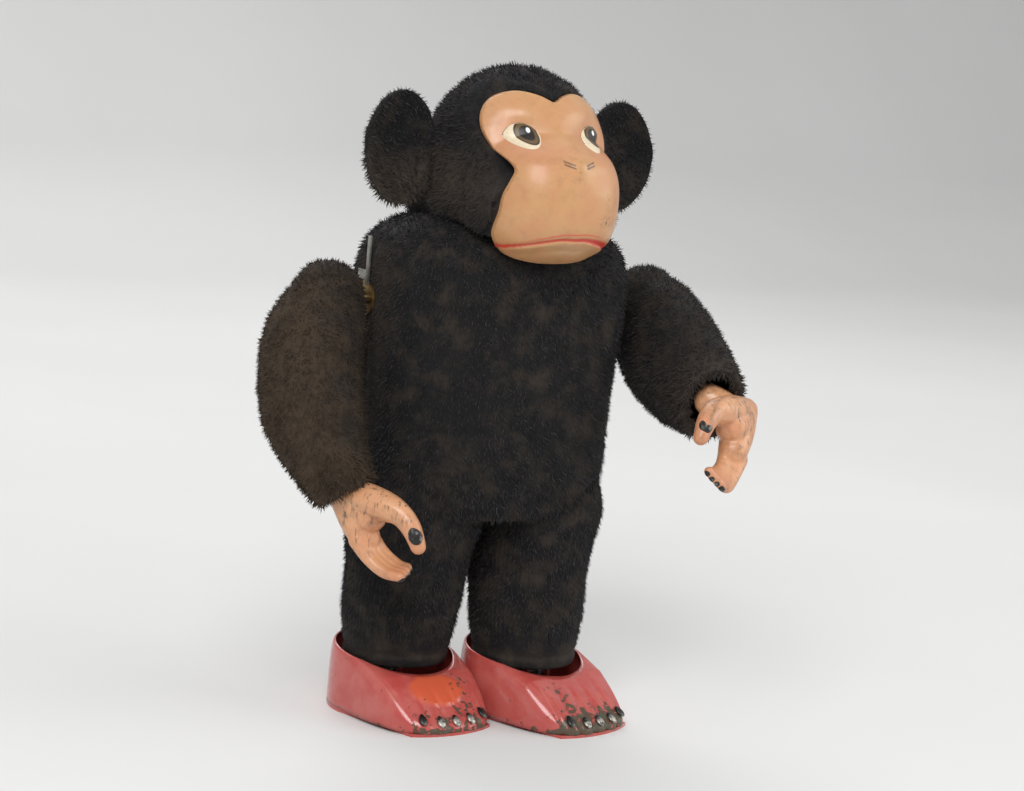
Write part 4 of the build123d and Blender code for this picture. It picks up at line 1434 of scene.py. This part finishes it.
    def _blush(self, spot: Vector) -> float:
        """Warmer paint at the finger tips, and darker, warmer paint in the crook as painted shade."""
        at = self._local(spot)
        # the crook term is painted shade in the hollow between the thumb and the fingers
        return min(0.7 * ease(at.x, 14.0, 22.0) + 0.5 * hump(at.x, 11.0, 3.0) * hump(at.y, 0.0, 4.0), 1.0)

    def _shade(self, spot: Vector) -> float:
        """Dark grooves between the fingers and a smudge by the wrist."""
        at = self._local(spot)
        ragged = ease(grain(spot, 1.4, 95.0), -0.3, 0.3)
        smudge = 0.5 * hump(at.x, 2.5, 1.8) * hump(at.y, 1.5, 1.6) * ease(at.z, 1.0, 3.0) * ragged
        seam = 0.35 * hump(at.z, 0.0, 0.35) * ease(at.y, 5.5, 7.5)
        return max(smudge, seam)

    def _nails(self) -> bpy.types.Object:
        """The thumb's nail and those of the four fingers."""
        shape = bmesh.new()
        tip = self._spot(20.6, 6.9, self.thumb_over + 1.2)
        nail(shape, tip, self.along - self.rise * 0.55, self.rise * 0.8 + self.over * 0.6, (2.7, 1.9, 0.9))
        for over, short, drop in self.digits:
            spot = self._spot(23.6 + short, -6.1 - drop, over * 0.95)
            outward = self.along * 0.9 - self.rise * 0.7 + self.over * 0.12 * over
            nail(shape, spot, self.along * 0.7 + self.rise, outward, (1.35, 0.95, 0.7))
        nails = show(f"nails_hand_{self.side.word}", shape)
        brush(nails, "tip", lambda spot: 0.5 * ease(grain(spot, 0.9, 97.0), 0.2, 0.5))
        return nails


@dataclass
class Foot:
    """One hollow tin foot: a counter round the heel, a sloping instep and five toes."""

    side: Side
    turn: float
    heel: float = 17.2
    reach: float = 30.5
    toe_power: float = 3.3
    toe_pitch: float = 4.9
    toe_groove: float = 0.75
    opening: float = 15.9
    profile: tuple[tuple[float, float], ...] = (
        (-30.5, 3.8),
        (-26.5, 5.8),
        (-21.0, 9.6),
        (-15.5, 13.0),
        (-6.0, 15.6),
        (17.2, 18.5),
    )
    # whether the instep has a raised oval with a painted highlight on it
    decorated: bool = False
    chip: float = 0.5

    def __post_init__(self) -> None:
        """Read the foot's heights, the leg above it and the ankle it turns on."""
        low, high = corners(f"foot_upper_{self.side.word}")
        inner, outer = corners(f"trouser_{self.side.word}")
        self.middle = Vector(((inner.x + outer.x) / 2, pivot(f"ankle_{self.side.word}").y, 0.0))
        self.across = Vector((math.cos(math.radians(self.turn)), math.sin(math.radians(self.turn)), 0.0))
        self.behind = Vector((-self.across.y, self.across.x, 0.0))
        self.floor, self.top = low.z, high.z

    def _out(self, x: float, back: float, up: float) -> Vector:
        """A place or direction of the turned foot, seen from above."""
        return self.across * x + self.behind * back + Vector((0.0, 0.0, up))

    def _flat(self, spot: Vector) -> tuple[float, float]:
        """How far a place lies across and behind the ankle in the turned foot."""
        gap = spot - self.middle
        return gap.dot(self.across), gap.dot(self.behind)

    def _roof(self, back: float) -> float:
        """Height of the foot's upper surface at a distance behind the ankle."""
        run = self.profile
        if back <= run[0][0]:
            return run[0][1]
        for (start, low), (stop, high) in zip(run, run[1:]):
            if back <= stop:
                share = (back - start) / (stop - start)
                return low + (high - low) * share
        return run[-1][1]

    def _edge(self, angle: float) -> float:
        """Distance from the ankle to the outline, where angle 0 is straight forward."""
        sine, cosine = abs(math.sin(angle)), math.cos(angle)
        if cosine <= 0:
            return self.heel
        power = self.toe_power
        return ((sine / self.heel) ** power + (cosine / self.reach) ** power) ** (-1 / power)

    def _groove(self, x: float, back: float) -> float:
        """Depth of the pressed creases between the toes."""
        ahead = ease(back, -17.0, -25.0)
        crease = (0.5 + 0.5 * math.cos(math.tau * (x / self.toe_pitch + 0.5))) ** 4
        return ahead * crease * ease(abs(x), 2.6 * self.toe_pitch, 2.3 * self.toe_pitch)

    def build(self) -> list[bpy.types.Object]:
        """Press the upper and lay its nails."""
        upper = skin(f"foot_tin_{self.side.word}", self._place, 288, 96, 0.4)
        brush(upper, "edge", self._worn)
        # painted highlight on the raised instep oval, where the foot has one
        brush(upper, "accent", self._oval if self.decorated else lambda spot: 0.0)
        return [upper, self._nails()]

    def dress(self, pieces: list[bpy.types.Object]) -> None:
        """Paint the upper and its nails, and fix them to the foot."""
        upper, nails = pieces
        FOOT_PAINT.apply(upper)
        NAILS.apply(nails)
        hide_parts(f"foot_upper_{self.side.word}")
        for piece in pieces:
            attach(piece, f"foot_{self.side.word}")

    def _place(self, around: float, over: float) -> Spot:
        """Where the tin lies, a share around from the toes and over from the floor to the opening."""
        angle = around * math.tau
        outer, inner = self._edge(angle), min(self.opening, self._edge(angle) - 0.7)
        turn = over * math.pi / 2
        radius = inner + (outer - inner) * math.cos(turn) ** 0.55
        x, back = radius * math.sin(angle), -radius * math.cos(angle)
        radius -= self.toe_groove * 0.8 * self._groove(x, back) * ease(over, 0.75, 0.3)
        x, back = radius * math.sin(angle), -radius * math.cos(angle)
        place = self.middle + self._out(x, back, 0.0)
        roof = self._roof(back) - self.toe_groove * self._groove(x, back)
        if self.decorated:
            roof += 0.35 * self._oval(place)
        height = self.floor + (roof - self.floor) * math.sin(turn) ** 0.55
        return (place.x, place.y, height)

    def _oval(self, spot: Vector) -> float:
        """The raised oval on the instep, also the share of its painted highlight."""
        x, back = self._flat(spot)
        return ease(math.hypot((x + 0.5) / 9.5, (back + 20.5) / 5.0), 1.0, 0.75)

    def _worn(self, spot: Vector) -> float:
        """Where the enamel chips: the toes, the lower edge and the creases."""
        x, back = self._flat(spot)
        toes = self.chip * ease(back, -22.0, -28.5)
        low = 0.4 * ease(spot.z, self.floor + 1.8, self.floor + 0.4)
        rim = 0.25 * ease(spot.z, self.top - 0.8, self.top)
        patch = 0.35 * hump(x, -self.side.value * 7.0, 4.0) * hump(back, -20.0, 5.0)
        return min(toes + low + rim + patch + 0.2 * self._groove(x, back), 1.0)

    def _nails(self) -> bpy.types.Object:
        """Five drops along the front edge of the toes."""
        shape = bmesh.new()
        for toe in range(-2, 3):
            x = toe * self.toe_pitch
            angle = math.atan2(x, self.reach * (1 - 0.02 * toe * toe))
            edge = self._edge(angle)
            back = -edge * math.cos(angle) + 1.15
            spot = self.middle + self._out(x, back, self.floor + (self._roof(back) - self.floor) * 0.83)
            along, outward = self._out(0.12 * toe, -1.0, -0.75), self._out(0.05 * toe, -0.5, 1.0)
            nail(shape, spot, along, outward, (1.9, 1.25, 0.55))
        nails = show(f"nails_foot_{self.side.word}", shape)
        brush(nails, "tip", lambda spot: ease(self._flat(spot)[1], -28.6, -30.2))
        return nails


# ---------------------------------------------------------------- the studio


@dataclass
class Studio:
    """A pale sweep, soft lamps, and the camera."""

    azimuth: float = -30.8
    elevation: float = 8.5
    distance: float = 732.5
    aim: float = 90.0
    roll: float = 4.9
    lens: float = 96.1
    shift: tuple[float, float] = (0.0289, -0.0141)

    def build(self) -> None:
        """Lay the sweep, hang the lamps and stand the camera."""
        self._sweep()
        self._lamp("key_light", (-620, -760, 900), 620, 9.5)
        self._lamp("fill_light", (900, -520, 520), 800, 4.0)
        self._lamp("back_light", (150, 800, 900), 700, 5.0)
        world = bpy.data.worlds.new("studio_air")
        world.use_nodes = True
        air = world.node_tree.nodes["Background"]
        air.inputs["Color"].default_value = pigment(238, 238, 239)
        air.inputs["Strength"].default_value = 0.66
        bpy.context.scene.world = world
        bpy.context.scene.view_settings.view_transform = "Standard"
        self._camera()

    def _sweep(self) -> None:
        """A floor that curves up into a wall behind."""
        shape = bmesh.new()
        run = [(-2400, 0), (900, 0), (1150, 60), (1300, 220), (1380, 480), (1400, 2400)]
        verts = [shape.verts.new((-2.6, back * MM, up * MM)) for back, up in run]
        edges = [shape.edges.new(pair) for pair in zip(verts, verts[1:])]
        grown = bmesh.ops.extrude_edge_only(shape, edges=edges)["geom"]
        far_side = [part for part in grown if isinstance(part, bmesh.types.BMVert)]
        bmesh.ops.translate(shape, verts=far_side, vec=(5.2, 0, 0))
        bmesh.ops.recalc_face_normals(shape, faces=shape.faces)
        if shape.faces[:][0].normal.z < 0:
            bmesh.ops.reverse_faces(shape, faces=shape.faces)
        sweep = show("studio_sweep", shape)
        paper = Recipe("pale_paper")
        cloud = paper.rise(paper.speckle(300.0), 0.3, 0.7)
        tone = paper.over(cloud, pigment(215, 215, 214), pigment(219, 219, 218))
        paper.set(Base_Color=tone, Roughness=0.85, Specular_IOR_Level=0.1)
        sweep.data.materials.append(paper.material)

    def _lamp(self, name: str, place: Spot, size: float, power: float) -> None:
        """A square soft lamp aimed at the middle of the figure."""
        light = bpy.data.lights.new(name, "AREA")
        light.size = size * MM
        light.energy = power
        lamp = bpy.data.objects.new(name, light)
        lamp.location = Vector(place) * MM
        lamp.rotation_euler = (Vector((0, 0, self.aim)) - Vector(place)).to_track_quat("-Z", "Y").to_euler()
        bpy.context.scene.collection.objects.link(lamp)

    def _camera(self) -> None:
        """Stand the camera round the figure, with a slight roll."""
        turn, tilt = math.radians(self.azimuth), math.radians(self.elevation)
        away = Vector((math.sin(turn) * math.cos(tilt), -math.cos(turn) * math.cos(tilt), math.sin(tilt)))
        view = bpy.data.cameras.new("camera")
        view.lens = self.lens
        view.sensor_width = 36.0
        view.shift_x, view.shift_y = self.shift
        view.clip_end = 20.0
        camera = bpy.data.objects.new("camera", view)
        camera.location = (Vector((0, 0, self.aim)) + away * self.distance) * MM
        aim = (-away).to_track_quat("-Z", "Y").to_matrix() @ Matrix.Rotation(math.radians(self.roll), 3, "Z")
        camera.rotation_euler = aim.to_euler()
        bpy.context.scene.collection.objects.link(camera)
        bpy.context.scene.camera = camera


@dataclass
class Works:
    """Every piece of the frame that stays as it is: soles, pins, key, shells and motor."""

    def dress(self) -> None:
        """Give each kept node the finish of its material slot."""
        slots = {entry["node"]: entry["material_slot"] for entry in frame["record"]["subparts"]}
        for name, node in frame["nodes"].items():
            finish = FRAME_FINISH.get(slots.get(name, ""))
            if finish:
                finish.apply(node)


def main() -> None:
    """Build every sub-assembly in order and note each piece."""
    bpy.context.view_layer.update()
    Studio().build()
    face = Face()
    assemblies = [
        Torso(),
        Trouser(Side.RIGHT),
        Trouser(Side.LEFT),
        Sleeve(
            Side.RIGHT,
            FADED_PLUSH,
            "plush_faded",
            (
                (45.6, 1.0, 8.5, 6.0, 6.0),
                (48.8, -1.0, 0.5, 10.0, 10.8),
                (53.2, -3.5, -11.0, 13.0, 12.5),
                (54.8, -6.5, -23.0, 13.4, 12.5),
                (52.5, -10.5, -36.0, 11.6, 11.0),
                (47.0, -15.5, -48.0, 7.8, 7.4),
            ),
        ),
        Sleeve(
            Side.LEFT,
            BLACK_PLUSH,
            "plush_black",
            (
                (46.0, 2.0, 9.0, 6.0, 7.0),
                (48.8, -2.5, -0.5, 10.0, 13.0),
                (49.4, -11.5, -9.5, 10.6, 16.5),
                (49.0, -23.0, -15.0, 10.4, 16.0),
                (47.6, -33.5, -18.2, 9.6, 13.0),
                (45.6, -42.5, -20.8, 8.4, 10.2),
            ),
        ),
        Head(face),
        face,
        Hand(
            Side.RIGHT,
            wrist=(45.6, -16.6, -49.8),
            point=(0.46, -0.72, -0.52),
            upper=(0.15, -0.52, 0.84),
            cuff=(47.2, -15.0, -46.5),
            thumb_over=1.5,
        ),
        Hand(
            Side.LEFT,
            wrist=(51.6, -46.6, -23.8),
            point=(-0.757, -0.588, -0.291),
            upper=(-0.316, -0.041, 0.919),
            cuff=(46.0, -40.5, -20.2),
            thumb_over=-2.5,
            digits=((-1.8, 0.0, -0.6), (-0.9, -0.3, 1.0), (0.2, -0.6, 2.6), (1.1, -0.9, 4.0)),
        ),
        Foot(Side.RIGHT, turn=8.0, toe_groove=0.35, decorated=True, chip=0.35),
        Foot(Side.LEFT, turn=16.0, toe_groove=1.1, chip=0.85),
    ]
    for assembly in assemblies:
        made = assembly.build()
        assembly.dress(made)
        for piece in made if isinstance(made, list) else [made]:
            LOG.info("%s: %d faces", piece.name, len(piece.data.polygons))
    Works().dress()


if __name__ == "__main__":
    logging.basicConfig(level=logging.INFO)
    main()
